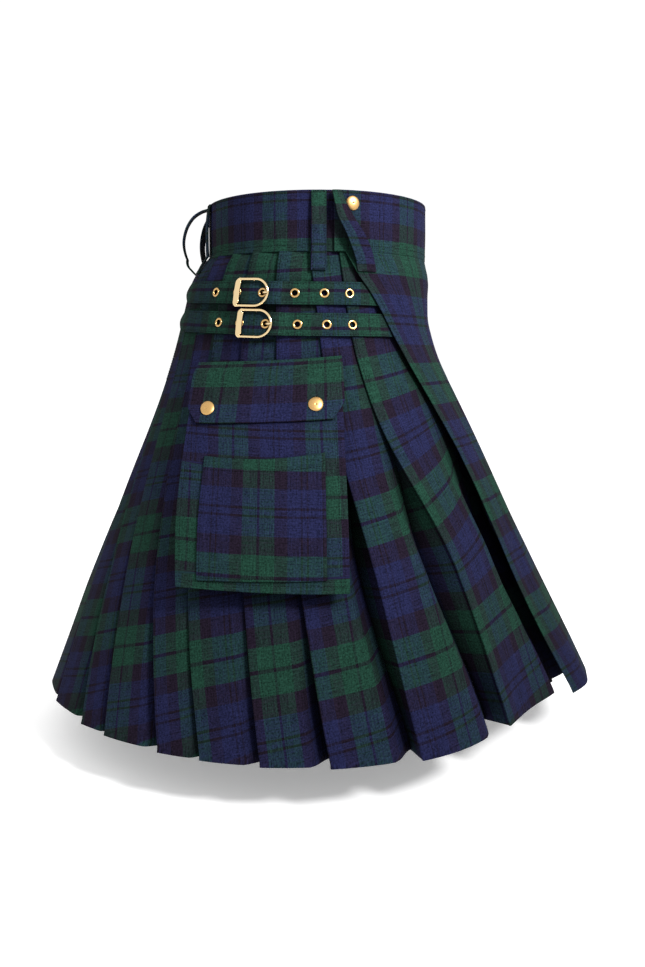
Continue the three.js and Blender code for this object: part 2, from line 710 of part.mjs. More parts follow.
// Cargo pocket: back, bellows gusset and front, with a patch pocket on the front and a flap
const pocket = { top: 131, bottom: 372, wide: 165, wall: 1.2, seam: 0.35, patchWall: 1.2, flapWall: 2 };
const flap = { top: 118, slant: 12, level: 235, long: 68, turn: 11, clear: 0.6, cut: 0.094, cutFrom: 46 };
const pocketEdges = [
  { down: 112, right: 80.5, left: 134.5 },
  { down: 207, right: 82, left: 129.5 },
  { down: 300, right: 83, left: 124 },
  { down: 400, right: 84, left: 118 },
];
const pocketDeep = [
  { down: 112, deep: 4.2 },
  { down: 131, deep: 4.8 },
  { down: 200, deep: 13 },
  { down: 300, deep: 20 },
  { down: 400, deep: 22 },
];
const pocketFlat = { middle: 0.42, lift: 8, seat: 1.1 };
const pocketRows = [pocket.top, 160, 195, 235, 280, 330, pocket.bottom];

function deepAt(down) {
  return column(pocketDeep, 'down', 'deep', down);
}

// A point of the pocket: share across from its right edge to its left, distance down,
// and height over its back; the pocket bends less than the hip behind it
function onPocket(share, down, height) {
  const right = column(pocketEdges, 'down', 'right', down);
  const left = column(pocketEdges, 'down', 'left', down);
  const past = Math.max(0, share - pocketFlat.middle) / (1 - pocketFlat.middle);
  const base = overPleats(down) + pocketFlat.seat + pocketFlat.lift * past ** 2;
  return on(right + (left - right) * share, down, base + height);
}

// The mouth slants down to the back as the flap does, and the lower rows run level
function slanted(row, share) {
  return row + flap.slant * share * (1 - smooth(pocket.top, flap.level, row));
}

function pocketPanel(rows, shares, height, thick) {
  const face = (extra) => rows.map((row) => shares.map((share) => {
    const down = slanted(row, share);
    return onPocket(share, down, height(down) + extra);
  }));
  return wall(face(0), face(thick));
}

const across = steps(0, 1, 8);
const backRows = [pocket.top - 9, ...pocketRows];
piece('pocket_back', pocketPanel(backRows, across, () => 0, pocket.wall), materials.tartan);
piece('pocket_front', pocketPanel(pocketRows, across, deepAt, pocket.wall), materials.tartan);

// Gusset: from the mouth down the right side, along the bottom and up the left side
{
  const inset = 0.014;
  const corner = { wide: 0.035, high: 7 };
  const lower = pocket.bottom - pocket.wide * inset;
  const sideRows = pocketRows.slice(0, -1);
  const sidePoint = (row, share, way) => ({ share, down: slanted(row, share), side: [way, 0] });
  const route = [
    ...sideRows.map((row) => sidePoint(row, inset, -1)),
    { share: inset, down: lower - corner.high, side: [-1, 0] },
    { share: inset + corner.wide, down: lower, side: [-0.7, 0.7] },
    ...[0.2, 0.35, 0.5, 0.65, 0.8].map((share) => ({ share, down: lower, side: [0, 1] })),
    { share: 1 - inset - corner.wide, down: lower, side: [0.7, 0.7] },
    { share: 1 - inset, down: lower - corner.high, side: [1, 0] },
    ...sideRows.reverse().map((row) => sidePoint(row, 1 - inset, 1)),
  ];
  // Two creases run round the bellows where it is deep enough to fold
  const crease = { deep: 3, from: 8, full: 20 };
  const bellows = [[0, 0], [0.3, 1], [0.5, 0], [0.7, 1], [1, 0]];
  const face = (out) => route.map(({ share, down, side }) => {
    const low = pocket.wall + pocket.seam;
    const high = deepAt(down) - pocket.seam;
    const tuck = crease.deep * smooth(crease.from, crease.full, high - low);
    return bellows.map(([k, fold]) => {
      const reach = out - tuck * fold;
      const height = low + (high - low) * k;
      return onPocket(share + (side[0] * reach) / pocket.wide, down + side[1] * reach, height);
    });
  });
  piece('pocket_gusset', wall(face(-pocket.wall / 2), face(pocket.wall / 2)), materials.tartan);
}

// Patch pocket on the front, its mouth dipping in the middle and standing a little open
{
  const rows = [0, 0.14, 0.36, 0.6, 0.82, 1];
  const side = (v) => ({ right: 0.12 - 0.01 * v, left: 0.845 + 0.04 * v });
  const mouth = { right: 223, slant: 9, dip: 4, gape: 2.2 };
  const foot = { right: 358, slant: 5 };
  const face = (extra) => rows.map((v) => steps(0, 1, 8).map((u) => {
    const { right, left } = side(v);
    const top = mouth.right + mouth.slant * u + mouth.dip * Math.sin(Math.PI * u);
    const down = top + (foot.right + foot.slant * u - top) * v;
    const gape = mouth.gape * Math.sin(Math.PI * u) * (1 - smooth(0, 0.4, v));
    const height = deepAt(down) + pocket.wall + pocket.seam + gape + extra;
    return onPocket(right + (left - right) * u, down, height);
  }));
  piece('patch_pocket', wall(face(0), face(pocket.patchWall)), materials.tartan);
}

// Flap: sewn to the hip above the pocket's mouth, with cut-off lower corners
const flapRise = [
  { down: 0, height: 1.6 },
  { down: 5, height: 3.6 },
  { down: 11, height: 6.9 },
  { down: 20, height: 8.2 },
];

function flapPoint(share, along, extra) {
  const down = flap.top + flap.slant * share + along;
  const lay = deepAt(down) + pocket.wall + pocket.seam + flap.clear;
  const rise = column(flapRise, 'down', 'height', along);
  return onPocket(share, down, (along < flap.turn ? rise : Math.max(lay, rise)) + extra);
}

{
  const rows = [0, 5, 11, 20, 34, 52, flap.long];
  const wider = 0.012;
  const cut = (along) => flap.cut * smooth(flap.cutFrom, flap.long + 6, along);
  const face = (extra) => rows.map((along) => {
    const shares = steps(cut(along) - wider, 1 + wider - cut(along), 10);
    return shares.map((share) => flapPoint(share, along, extra));
  });
  piece('pocket_flap', wall(face(0), face(pocket.flapWall)), materials.tartan);
}

// Snaps: one on the apron's end of the waistband, two on the flap
function aroundFlap(share, along) {
  return (beside, below, height) => flapPoint(
    share + beside / pocket.wide,
    along + below - (flap.slant * beside) / pocket.wide,
    pocket.flapWall + snap.seat + height,
  );
}

const snaps = {
  snap_waistband: around(73.5, -47, band.lap + band.thick + snap.seat),
  snap_flap_right: aroundFlap(0.185, 50),
  snap_flap_left: aroundFlap(0.86, 51),
};
for (const [name, place] of Object.entries(snaps)) {
  piece(name, dome(place, snapDome, snap.sides), materials.brass);
}

kilt.updateMatrixWorld(true);
export default kilt;
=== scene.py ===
import math

import bpy
import numpy as np
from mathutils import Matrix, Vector


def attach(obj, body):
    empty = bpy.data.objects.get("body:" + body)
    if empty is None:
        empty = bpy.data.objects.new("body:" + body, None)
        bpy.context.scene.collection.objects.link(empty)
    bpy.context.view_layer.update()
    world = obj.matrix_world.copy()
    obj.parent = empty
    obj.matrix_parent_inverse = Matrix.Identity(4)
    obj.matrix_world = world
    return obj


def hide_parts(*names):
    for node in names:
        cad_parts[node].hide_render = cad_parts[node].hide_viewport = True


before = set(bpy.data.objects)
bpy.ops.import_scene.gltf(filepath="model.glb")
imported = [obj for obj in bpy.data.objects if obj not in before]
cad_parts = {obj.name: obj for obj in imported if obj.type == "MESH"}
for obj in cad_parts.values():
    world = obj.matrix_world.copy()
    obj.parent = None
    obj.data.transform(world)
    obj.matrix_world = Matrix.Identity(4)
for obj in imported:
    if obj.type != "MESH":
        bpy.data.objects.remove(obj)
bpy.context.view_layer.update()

# Shapes are worked out in millimetres and scaled to metres when a mesh is made.
# turn: degrees from the front (-Y) towards the wearer's right (-X); down: along the cloth
# from the waist seam; off: out from the figure that fills the kilt.
metres = 0.001
waist = {"wide": 155.0, "front": 126.0, "back": 128.0, "seamZ": -32.0}
hem = 546.0
lean = {
    "down": [0, 25, 45, 60, 95, 135, 180, 240, 640],
    "front": [1, 1, 1, 2, 14, 25, 26, 26, 26],
    "side": [8, 8, 8, 8, 8, 13, 19, 25, 25],
    "back": [42, 36, 16, 14, 15, 17, 19, 21, 22],
}
lineStep = 4.0
lineDowns = np.arange(0.0, 641.0, lineStep)


def leanLine(name):
    # out = sum of sin(lean), drop = sum of cos(lean), a step at a time
    angle = np.radians(np.interp(lineDowns[1:] - lineStep / 2, lean["down"], lean[name]))
    out = np.concatenate([[0.0], np.cumsum(lineStep * np.sin(angle))])
    drop = np.concatenate([[0.0], np.cumsum(lineStep * np.cos(angle))])
    return out, drop


lines = {name: leanLine(name) for name in ("front", "side", "back")}


def smooth(low, high, value):
    k = np.clip((value - low) / (high - low), 0.0, 1.0)
    return k * k * (3 - 2 * k)


def smoothLine(xs, ys, at):
    # cubic through the rows; the slope at a row is the harmonic mean of those beside it
    xs, ys = np.asarray(xs, float), np.asarray(ys, float)
    step = np.diff(xs)
    slope = np.diff(ys) / step
    same = slope[1:] * slope[:-1] > 0
    total = np.where(same, slope[1:] + slope[:-1], 1.0)
    inner = np.where(same, 2 * slope[1:] * slope[:-1] / total, 0.0)
    m = np.concatenate([slope[:1], inner, slope[-1:]])
    at = np.clip(at, xs[0], xs[-1])
    k = np.clip(np.searchsorted(xs, at, side="right") - 1, 0, len(xs) - 2)
    t = (at - xs[k]) / step[k]
    a = (1 + 2 * t) * (1 - t) ** 2 * ys[k] + t * t * (3 - 2 * t) * ys[k + 1]
    return a + step[k] * (t * (1 - t) ** 2 * m[k] - t * t * (1 - t) * m[k + 1])


# Creases and soft hollows of the worn cloth, shared by all that lies on it. Each row is turn and
# down of the middle, half length and half width in mm, tilt from level in degrees (down towards
# the front) and height in mm
creases = [
    (62, 22, 34, 6, 18, 1.3), (48, 38, 42, 8, 26, -1.5), (40, 62, 38, 10, 34, 1.4),
    (28, 84, 44, 12, 30, -1.6), (12, 30, 50, 9, 8, 1.2), (-8, 70, 60, 13, -6, -1.5),
    (-26, 36, 40, 8, -22, 1.4), (-44, 60, 42, 10, -30, -1.5), (-60, 24, 36, 6, -16, 1.2),
    (104, 18, 46, 5, 4, 1.1), (124, 27, 40, 6, -5, -1.2), (94, 31, 30, 5, 7, 0.9),
    (146, 16, 38, 5, 3, 1.2), (112, 104, 60, 9, 3, -1.0), (-98, 20, 44, 6, -4, 1.2),
    (-122, 34, 50, 8, 6, -1.3), (-150, 22, 40, 6, -3, 1.1), (-112, 96, 56, 12, 5, -1.2),
    (8, 210, 22, 120, 5, 3.2), (-9, 330, 20, 150, -4, -3.0), (2, 430, 26, 110, 3, 2.4),
    (20, 380, 16, 130, 6, -2.2), (15, 565, 26, 60, 0, 4.0), (-20, 250, 18, 110, -7, 2.4),
    (46, 300, 15, 90, 8, 1.2), (70, 420, 17, 80, 5, -1.6), (90, 480, 18, 60, 2, 1.6),
    (112, 500, 16, 60, -3, -1.5), (130, 400, 18, 90, -5, 1.8), (152, 330, 20, 100, -6, -1.8),
    (176, 420, 22, 90, 3, 2.0), (-166, 330, 20, 90, 5, -1.8), (-140, 440, 19, 80, 5, 1.8),
    (-116, 300, 22, 90, 4, -1.7), (-90, 430, 20, 90, -3, 1.9), (-66, 340, 18, 90, -7, -1.8),
]
spread = {"waist": 2.65, "flare": 3.0}  # millimetres to a degree of turn, and how much more at the hem
# the skirt falls in beside the front on both sides
hollow = {"turn": 38, "wide": 20, "deep": 34}


def drape(turn, down):
    # sum of high * exp(-(x / long)^2 - (y / wide)^2), x along the crease, y across it
    total = np.zeros(np.shape(turn))
    rate = spread["waist"] + spread["flare"] * np.maximum(down, 0) / hem
    for middleTurn, middleDown, long, wide, tilt, high in creases:
        along = ((turn - middleTurn + 180) % 360 - 180) * rate
        fall = down - middleDown
        c, s = math.cos(math.radians(tilt)), math.sin(math.radians(tilt))
        x = along * c - fall * s
        y = along * s + fall * c
        total += high * np.exp(-((x / long) ** 2) - (y / wide) ** 2)
    return total * smooth(2, 14, down)


def on(turn, down, off):
    # an oval with half widths wide and deep at each height: (-wide sin t, -deep cos t)
    turn, down, off = np.broadcast_arrays(
        np.asarray(turn, float), np.asarray(down, float), np.asarray(off, float))
    c, s = np.cos(np.radians(turn)), np.sin(np.radians(turn))
    below = np.maximum(0.0, down)
    wrapped = np.abs((turn % 360 + 540) % 360 - 180)
    dent = hollow["deep"] * (below / hem) ** 2 * np.exp(-(((wrapped - hollow["turn"]) / hollow["wide"]) ** 2))
    grow = off - dent + drape(turn, down)

    def line(name):
        return np.interp(below, lineDowns, lines[name][0]), np.interp(below, lineDowns, lines[name][1])

    sideOut, sideDrop = line("side")
    frontOut, frontDrop = line("front")
    backOut, backDrop = line("back")
    front = c > 0
    wide = waist["wide"] + sideOut + grow
    deep = np.where(front, waist["front"] + frontOut, waist["back"] + backOut) + grow
    drop = sideDrop * s * s + np.where(front, frontDrop, backDrop) * c * c
    z = waist["seamZ"] - np.minimum(0.0, down) - drop
    return np.stack([-wide * s, -deep * c, z], axis=-1)


def perDegree(turn, down, off=0.0):
    # millimetres to a degree of turn at a place
    a, b = on(turn - 0.5, down, off), on(turn + 0.5, down, off)
    return np.hypot(a[..., 0] - b[..., 0], a[..., 1] - b[..., 1])


# ---- materials


def linear(hexColour):
    # sRGB hex to linear
    parts = [int(hexColour[i:i + 2], 16) / 255 for i in (0, 2, 4)]
    return [p / 12.92 if p <= 0.04045 else ((p + 0.055) / 1.055) ** 2.4 for p in parts] + [1.0]


def addNode(tree, kind, inputs=(), **settings):
    node = tree.nodes.new(kind)
    for name, value in settings.items():
        setattr(node, name, value)
    for key, value in inputs:
        if isinstance(value, bpy.types.NodeSocket):
            tree.links.new(value, node.inputs[key])
        else:
            node.inputs[key].default_value = value
    return node


def emptyMaterial(name):
    material = bpy.data.materials.new(name)
    material.use_nodes = True
    material.node_tree.nodes.clear()
    return material, material.node_tree


def stripes(tree, value, table, repeat):
    # hard-edged colour bands; table rows are (width in mm, yarn), counted from the green line
    ramp = addNode(tree, "ShaderNodeValToRGB", [("Fac", value)])
    ramp.color_ramp.interpolation = "CONSTANT"
    place = 0.0
    elements = ramp.color_ramp.elements
    while len(elements) > 1:
        elements.remove(elements[-1])
    for index, (width, yarn) in enumerate(table):
        element = elements[0] if index == 0 else elements.new(place / repeat)
        element.position = place / repeat
        element.color = linear(yarns[yarn])
        place += width
    return ramp.outputs["Color"]


# Yarns as dyed; a cell of the tartan shows the warp yarn and the weft yarn side by side
yarns = {"green": "122B22", "blue": "151731", "black": "140E19", "line": "0F0A13"}
# Across the cloth, 97 mm to a repeat, from the middle of the green
warpBands = [
    (1.2, "line"), (15.8, "green"), (13, "black"), (14, "blue"), (1.8, "line"),
    (4.4, "blue"), (1.8, "line"), (14, "blue"), (13, "black"), (15.8, "green"), (1.2, "line"),
]
# Along the drop, 135 mm to a repeat
weftBands = [
    (1.9, "line"), (21, "green"), (19.5, "black"), (19.6, "blue"), (2.4, "line"),
    (6.2, "blue"), (2.4, "line"), (19.6, "blue"), (19.5, "black"), (21, "green"), (1.9, "line"),
]
warpRepeat = sum(width for width, yarn in warpBands)
weftRepeat = sum(width for width, yarn in weftBands)
uvScale = 0.01
# twill line spacing in mm (the real one is near 1 mm, too fine for the picture); streaks where
# yarns run thick and thin, 1.2 mm wide and 20 mm long; warp is about 40 % of the face; painted
# shade: cloth less than foldReach metres from more cloth gets darker, down to foldLight in the deepest folds
weave = {
    "twill": 2.2, "thin": 80.0, "long": 5.0, "streak": 0.8, "grain": 52.0, "grainShare": 2.0,
    "warp": 0.27, "warpLeast": 0.1, "warpMost": 0.75, "foldReach": 0.04, "foldLight": 0.3,
}


def tartan(name, lift, fleck):
    # woven wool-blend twill, matt and brushed: the mixed warp and weft give the soft-edged checks,
    # the streaks and grain give the speckle of the yarns. UV is in units of 100 mm of cloth
    material, tree = emptyMaterial(name)
    uv = addNode(tree, "ShaderNodeUVMap", uv_map="UVMap").outputs["UV"]
    parts = addNode(tree, "ShaderNodeSeparateXYZ", [(0, uv)])
    across, along = parts.outputs["X"], parts.outputs["Y"]

    def maths(operation, a, b=0.0, c=0.0):
        return addNode(tree, "ShaderNodeMath", [(0, a), (1, b), (2, c)], operation=operation).outputs[0]

    def bands(place, table, repeat):
        return stripes(tree, maths("FRACT", maths("MULTIPLY", place, 1 / (repeat * uvScale))), table, repeat)

    def streak(stretch):
        place = addNode(tree, "ShaderNodeVectorMath", [(0, uv), (1, stretch)], operation="MULTIPLY").outputs[0]
        return addNode(tree, "ShaderNodeTexNoise", [
            ("Vector", place), ("Scale", 1.0), ("Detail", 2.0), ("Roughness", 0.6)]).outputs[0]

    warp, weft = bands(across, warpBands, warpRepeat), bands(along, weftBands, weftRepeat)
    twillRate = 1 / (weave["twill"] * uvScale)
    diagonal = maths("ADD", maths("MULTIPLY", across, twillRate), maths("MULTIPLY", along, twillRate))
    twill = maths("PINGPONG", diagonal, 0.5)
    downStreak, sideStreak = streak((weave["thin"], weave["long"], 0.0)), streak((weave["long"], weave["thin"], 3.0))
    grain = addNode(tree, "ShaderNodeTexNoise", [
        ("Vector", uv), ("Scale", weave["grain"]), ("Detail", 1.5), ("Roughness", 0.7)]).outputs[0]
    uneven = maths("MULTIPLY", maths("SUBTRACT", downStreak, sideStreak), weave["streak"])
    share = maths("ADD", maths("ADD", maths("MULTIPLY", twill, 0.5), uneven), weave["warp"])
    share = addNode(tree, "ShaderNodeClamp", [
        ("Value", share), ("Min", weave["warpLeast"]), ("Max", weave["warpMost"])]).outputs[0]
    woven = addNode(tree, "ShaderNodeMix", [("Factor", share), (6, weft), (7, warp)], data_type="RGBA").outputs[2]
    lights = maths("ADD", maths("ADD", downStreak, sideStreak), maths("MULTIPLY", grain, weave["grainShare"]))
    flecks = maths("ADD", maths("MULTIPLY", lights, fleck), lift - 2 * fleck)
    # painted shade: the colour darkens where other cloth is near, in the folds, under the flap and beside the pocket
    openness = addNode(tree, "ShaderNodeAmbientOcclusion", [("Distance", weave["foldReach"])], samples=4).outputs["AO"]
    seen = maths("MULTIPLY", flecks, maths("MULTIPLY_ADD", openness, 1 - weave["foldLight"], weave["foldLight"]))
    colour = addNode(tree, "ShaderNodeVectorMath", [(0, woven), ("Scale", seen)], operation="SCALE").outputs[0]
    height = maths("ADD", maths("MULTIPLY", twill, 0.6), maths("ADD", downStreak, grain))
    bump = addNode(tree, "ShaderNodeBump", [("Height", height), ("Strength", 0.35), ("Distance", 0.0004)])
    shader = addNode(tree, "ShaderNodeBsdfPrincipled", [
        ("Base Color", colour), ("Roughness", 0.9), ("IOR", 1.45), ("Specular IOR Level", 0.05),
        ("Normal", bump.outputs[0])])
    addNode(tree, "ShaderNodeOutputMaterial", [("Surface", shader.outputs[0])])
    return material


# painted shade on the brass: the brown colour, and how far from other surfaces it reaches in metres
brassContactShade = {"colour": "4A2E16", "reach": 0.004}


def brass(name, hexColour, roughness, grainScale):
    # plated brass: a warm mirror with fine polishing marks, painted brown where it meets cloth: painted shade for the
    # dark edges it reflects there
    material, tree = emptyMaterial(name)
    place = addNode(tree, "ShaderNodeTexCoord").outputs["Object"]
    marks = addNode(tree, "ShaderNodeTexNoise", [
        ("Vector", place), ("Scale", grainScale), ("Detail", 4.0)]).outputs[0]
    bump = addNode(tree, "ShaderNodeBump", [("Height", marks), ("Strength", 0.12), ("Distance", 0.0001)])
    # painted shade: brass close to other surfaces takes the brown colour
    openness = addNode(tree, "ShaderNodeAmbientOcclusion", [("Distance", brassContactShade["reach"])], samples=6).outputs["AO"]
    tone = addNode(tree, "ShaderNodeMix", [
        ("Factor", openness), (6, linear(brassContactShade["colour"])), (7, linear(hexColour))], data_type="RGBA").outputs[2]
    shader = addNode(tree, "ShaderNodeBsdfPrincipled", [
        ("Base Color", tone), ("Metallic", 1.0), ("Roughness", roughness), ("Normal", bump.outputs[0])])
    addNode(tree, "ShaderNodeOutputMaterial", [("Surface", shader.outputs[0])])
    return material


def thread(name, hexColour):
    # spun polyester sewing thread: dull and a shade darker than the cloth
    material, tree = emptyMaterial(name)
    shader = addNode(tree, "ShaderNodeBsdfPrincipled", [
        ("Base Color", linear(hexColour)), ("Roughness", 0.8), ("IOR", 1.5), ("Specular IOR Level", 0.05)])
    addNode(tree, "ShaderNodeOutputMaterial", [("Surface", shader.outputs[0])])
    return material


materials = {
    "skirt": tartan("woolTwillTartan", 0.95, 1.2),
    "band": tartan("woolTwillTartanBand", 0.95, 1.2),
    "pocket": tartan("woolTwillTartanPocket", 0.96, 1.2),
    "strap": tartan("woolTwillTartanStrap", 0.9, 1.2),
    "buckle": brass("polishedBrass", "E9CFA0", 0.16, 900.0),
    "snap": brass("brushedBrass", "C8A167", 0.42, 1500.0),
    "eyelet": brass("rolledBrass", "CDA76E", 0.22, 1200.0),
    "thread": thread("sewingThread", "0B0C10"),
}

# ---- mesh makers


def newObject(name, vertices, faces, material, uvs=None):
    mesh = bpy.data.meshes.new(name)
    mesh.from_pydata((vertices * metres).tolist(), [], faces.tolist())
    if uvs is not None:
        layer = mesh.uv_layers.new(name="UVMap")
        layer.data.foreach_set("uv", (uvs * uvScale).astype(np.float32).ravel())
    mesh.polygons.foreach_set("use_smooth", np.ones(len(mesh.polygons), bool))
    mesh.materials.append(material)
    mesh.update()
    item = bpy.data.objects.new(name, mesh)
    bpy.context.scene.collection.objects.link(item)
    return item


def gridFaces(rows, cols, wrap=False):
    i, j = np.meshgrid(np.arange(rows - 1), np.arange(cols if wrap else cols - 1), indexing="ij")
    n = (j + 1) % cols
    return np.stack([i * cols + j, (i + 1) * cols + j, (i + 1) * cols + n, i * cols + n], axis=-1)


def cloth(name, points, across, along, wall, material, keep=None, acrossEnd=None, rim=0.45):
    # a grid of points through the middle of the wall; across and along are millimetres of cloth.
    # across[i, j] and acrossEnd[i, j] are its values at the two sides of quad j
    rows, cols = points.shape[:2]
    start = across[:, :-1] if acrossEnd is None else across
    end = across[:, 1:] if acrossEnd is None else acrossEnd
    faces = gridFaces(rows, cols)
    corners = np.stack([
        np.stack([start[:-1], along[:-1, :-1]], -1), np.stack([start[1:], along[1:, :-1]], -1),
        np.stack([end[1:], along[1:, 1:]], -1), np.stack([end[:-1], along[:-1, 1:]], -1)], axis=2)
    if keep is None:
        keep = np.ones((rows - 1, cols - 1), bool)
    item = newObject(name, points.reshape(-1, 3), faces[keep], material, corners[keep])
    solid = item.modifiers.new("wall", "SOLIDIFY")
    solid.thickness = wall * metres
    solid.offset = 0.0
    solid.use_even_offset = True
    if rim:
        bevel = item.modifiers.new("rim", "BEVEL")
        bevel.width = rim * metres
        bevel.segments = 2
        bevel.limit_method = "ANGLE"
        bevel.angle_limit = math.radians(50)
    item["flatArea"] = gridArea(points)
    return item


def gridArea(points):
    a = points[1:, 1:] - points[:-1, :-1]
    b = points[1:, :-1] - points[:-1, 1:]
    return float(np.linalg.norm(np.cross(a, b), axis=-1).sum() / 2 * 1e-6)


def rideOn(item, facts):
    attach(item, "root")
    if facts.get("nodes"):
        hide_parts(*facts["nodes"])
    if facts.get("flat"):
        area = item.get("flatArea", 0.0)
        print("sheet", item.name, "area", round(area, 4), "flat", facts["flat"], facts.get("area"))
    return item


def arcAcross(points):
    # millimetres of cloth across each row, from its first column
    steps = np.linalg.norm(np.diff(points, axis=1), axis=-1)
    return np.concatenate([np.zeros((points.shape[0], 1)), np.cumsum(steps, axis=1)], axis=1)


threadRows = {}
# a stitch is a bead of thread in mm, sunk at both ends; the real pitch is about 2.5 mm, and 3.2 mm
# keeps the beads apart in the picture
bead = {"pitch": 3.2, "half": 1.15, "endThick": 0.16, "thick": 0.27, "sunk": -0.05, "proud": 0.16, "flatness": 0.8}


def stitch(group, base, lifted, pitch=bead["pitch"]):
    # base and lifted are the same line on the cloth and one millimetre above it
    steps = np.linalg.norm(np.diff(base, axis=0), axis=-1)
    total = np.concatenate([[0.0], np.cumsum(steps)])
    count = max(2, int(total[-1] / pitch))
    middles = (np.arange(count) + 0.5) * total[-1] / count
    pick = lambda line, at: np.stack([np.interp(at, total, line[:, k]) for k in range(3)], -1)
    middle = pick(base, middles)
    way = pick(base, middles + 0.5) - pick(base, middles - 0.5)
    up = pick(lifted, middles) - middle
    threadRows.setdefault(group, []).append((middle, way, up))


def stitchMesh(name, group):
    # each bead is three rings of five points along its stitch
    middle, way, up = (np.concatenate([row[k] for row in threadRows[group]]) for k in range(3))
    way /= np.linalg.norm(way, axis=-1, keepdims=True)
    side = np.cross(way, up)
    side /= np.linalg.norm(side, axis=-1, keepdims=True)
    up = np.cross(side, way)
    ringSides = 5
    ends = np.array([-bead["half"], 0.0, bead["half"]])
    girth = np.array([bead["endThick"], bead["thick"], bead["endThick"]])
    lift = np.array([bead["sunk"], bead["proud"], bead["sunk"]])
    angle = np.arange(ringSides) * 2 * np.pi / ringSides
    x = np.repeat(ends, ringSides)
    y = (girth[:, None] * np.cos(angle)).ravel()
    z = (girth[:, None] * np.sin(angle) * bead["flatness"] + lift[:, None]).ravel()
    beads = (middle[:, None] + way[:, None] * x[None, :, None] + side[:, None] * y[None, :, None]
             + up[:, None] * z[None, :, None])
    one = gridFaces(len(ends), ringSides, wrap=True).reshape(-1, 4)[:, ::-1]
    faces = (one[None] + len(x) * np.arange(len(middle))[:, None, None]).reshape(-1, 4)
    item = newObject(name, beads.reshape(-1, 3), faces, materials["thread"])
    return rideOn(item, {})


def tubePiece(parts, name, material, facts):
    # parts: (stations, sides, 3) grids closed round each section; looped ones close on themselves
    allPoints, allFaces, count = [], [], 0
    for points, looped in parts:
        rows, sides = points.shape[:2]
        faces = gridFaces(rows + looped, sides, wrap=True).reshape(-1, 4) % (rows * sides)
        allPoints.append(points.reshape(-1, 3))
        allFaces.append(faces + count)
        count += rows * sides
    item = newObject(name, np.concatenate(allPoints), np.concatenate(allFaces), material)
    return rideOn(item, facts)


def catmull(rows, at):
    # a smooth line through the rows of a table, at row numbers between them
    p = np.asarray(rows, float)
    at = np.clip(at, 0, len(p) - 1 - 1e-9)
    k = at.astype(int)
    t = (at - k)[:, None]
    a, b = p[np.maximum(k - 1, 0)], p[k]
    c, d = p[k + 1], p[np.minimum(k + 2, len(p) - 1)]
    square, cube = 2 * a - 5 * b + 4 * c - d, 3 * b - a - 3 * c + d
    return 0.5 * (2 * b + (c - a) * t + square * t ** 2 + cube * t ** 3)


# ---- waistband: one strip that runs round the waist and on under its own outer end
bandSize = {"top": -61.0, "bottom": 4.6, "thick": 2.8, "lap": 3.4, "outerEnd": 82.5, "innerEnd": -395.0,
            "sewn": (-57.5, -2.6), "sewnEnd": 79.8}
bandFacts = {
    "nodes": ["waistband"], "slot": "waistband_cloth", "held": "stretched",
    "flat": (1.19, 0.0645), "restsOn": ["pleats_right", "pleats_left"],
}


def bandOff(turn):
    return bandSize["lap"] * smooth(-52, -38, turn)


def bandRipple(turn, down):
    # pucker beside the two rows of stitching: short waves of uneven length
    wave = np.sin(np.radians(turn) * 61 + 2.2 * np.sin(np.radians(turn) * 13))
    near = np.exp(-(((down + 57) / 5) ** 2)) + np.exp(-(((down + 3) / 6) ** 2))
    long = np.sin(np.radians(turn) * 9 + 1.0) * np.exp(-(((down + 26) / 20) ** 2))
    return 0.14 * wave * near + 0.5 * long


bandTurns, bandDowns = np.meshgrid(
    np.linspace(bandSize["outerEnd"], bandSize["innerEnd"], 620),
    np.array([bandSize["top"], -59.5, -57.5, -55.5, -52, -46, -38, -30, -22, -14, -8, -4.5, -3, -1.5, 1,
              bandSize["bottom"]]), indexing="xy")
bandMid = bandOff(bandTurns) + bandSize["thick"] / 2
bandPoints = on(bandTurns, bandDowns, bandMid + bandRipple(bandTurns, bandDowns))
# its cloth is counted from a green line at turn 112
waistband = cloth("waistband_cloth", bandPoints, (112 - bandTurns) * 2.66, bandDowns + 122.0,
                  bandSize["thick"], materials["band"], rim=1.1)
for down in bandSize["sewn"]:
    turns = np.linspace(81.5, -276, 900)
    top = bandOff(turns) + bandSize["thick"] + bandRipple(turns, down)
    stitch("band", on(turns, down, top), on(turns, down, top + 1))
downs = np.linspace(*bandSize["sewn"], 30)
top = bandOff(bandSize["sewnEnd"]) + bandSize["thick"]
stitch("band", on(bandSize["sewnEnd"], downs, top), on(bandSize["sewnEnd"], downs, top + 1))
print("waistband done")

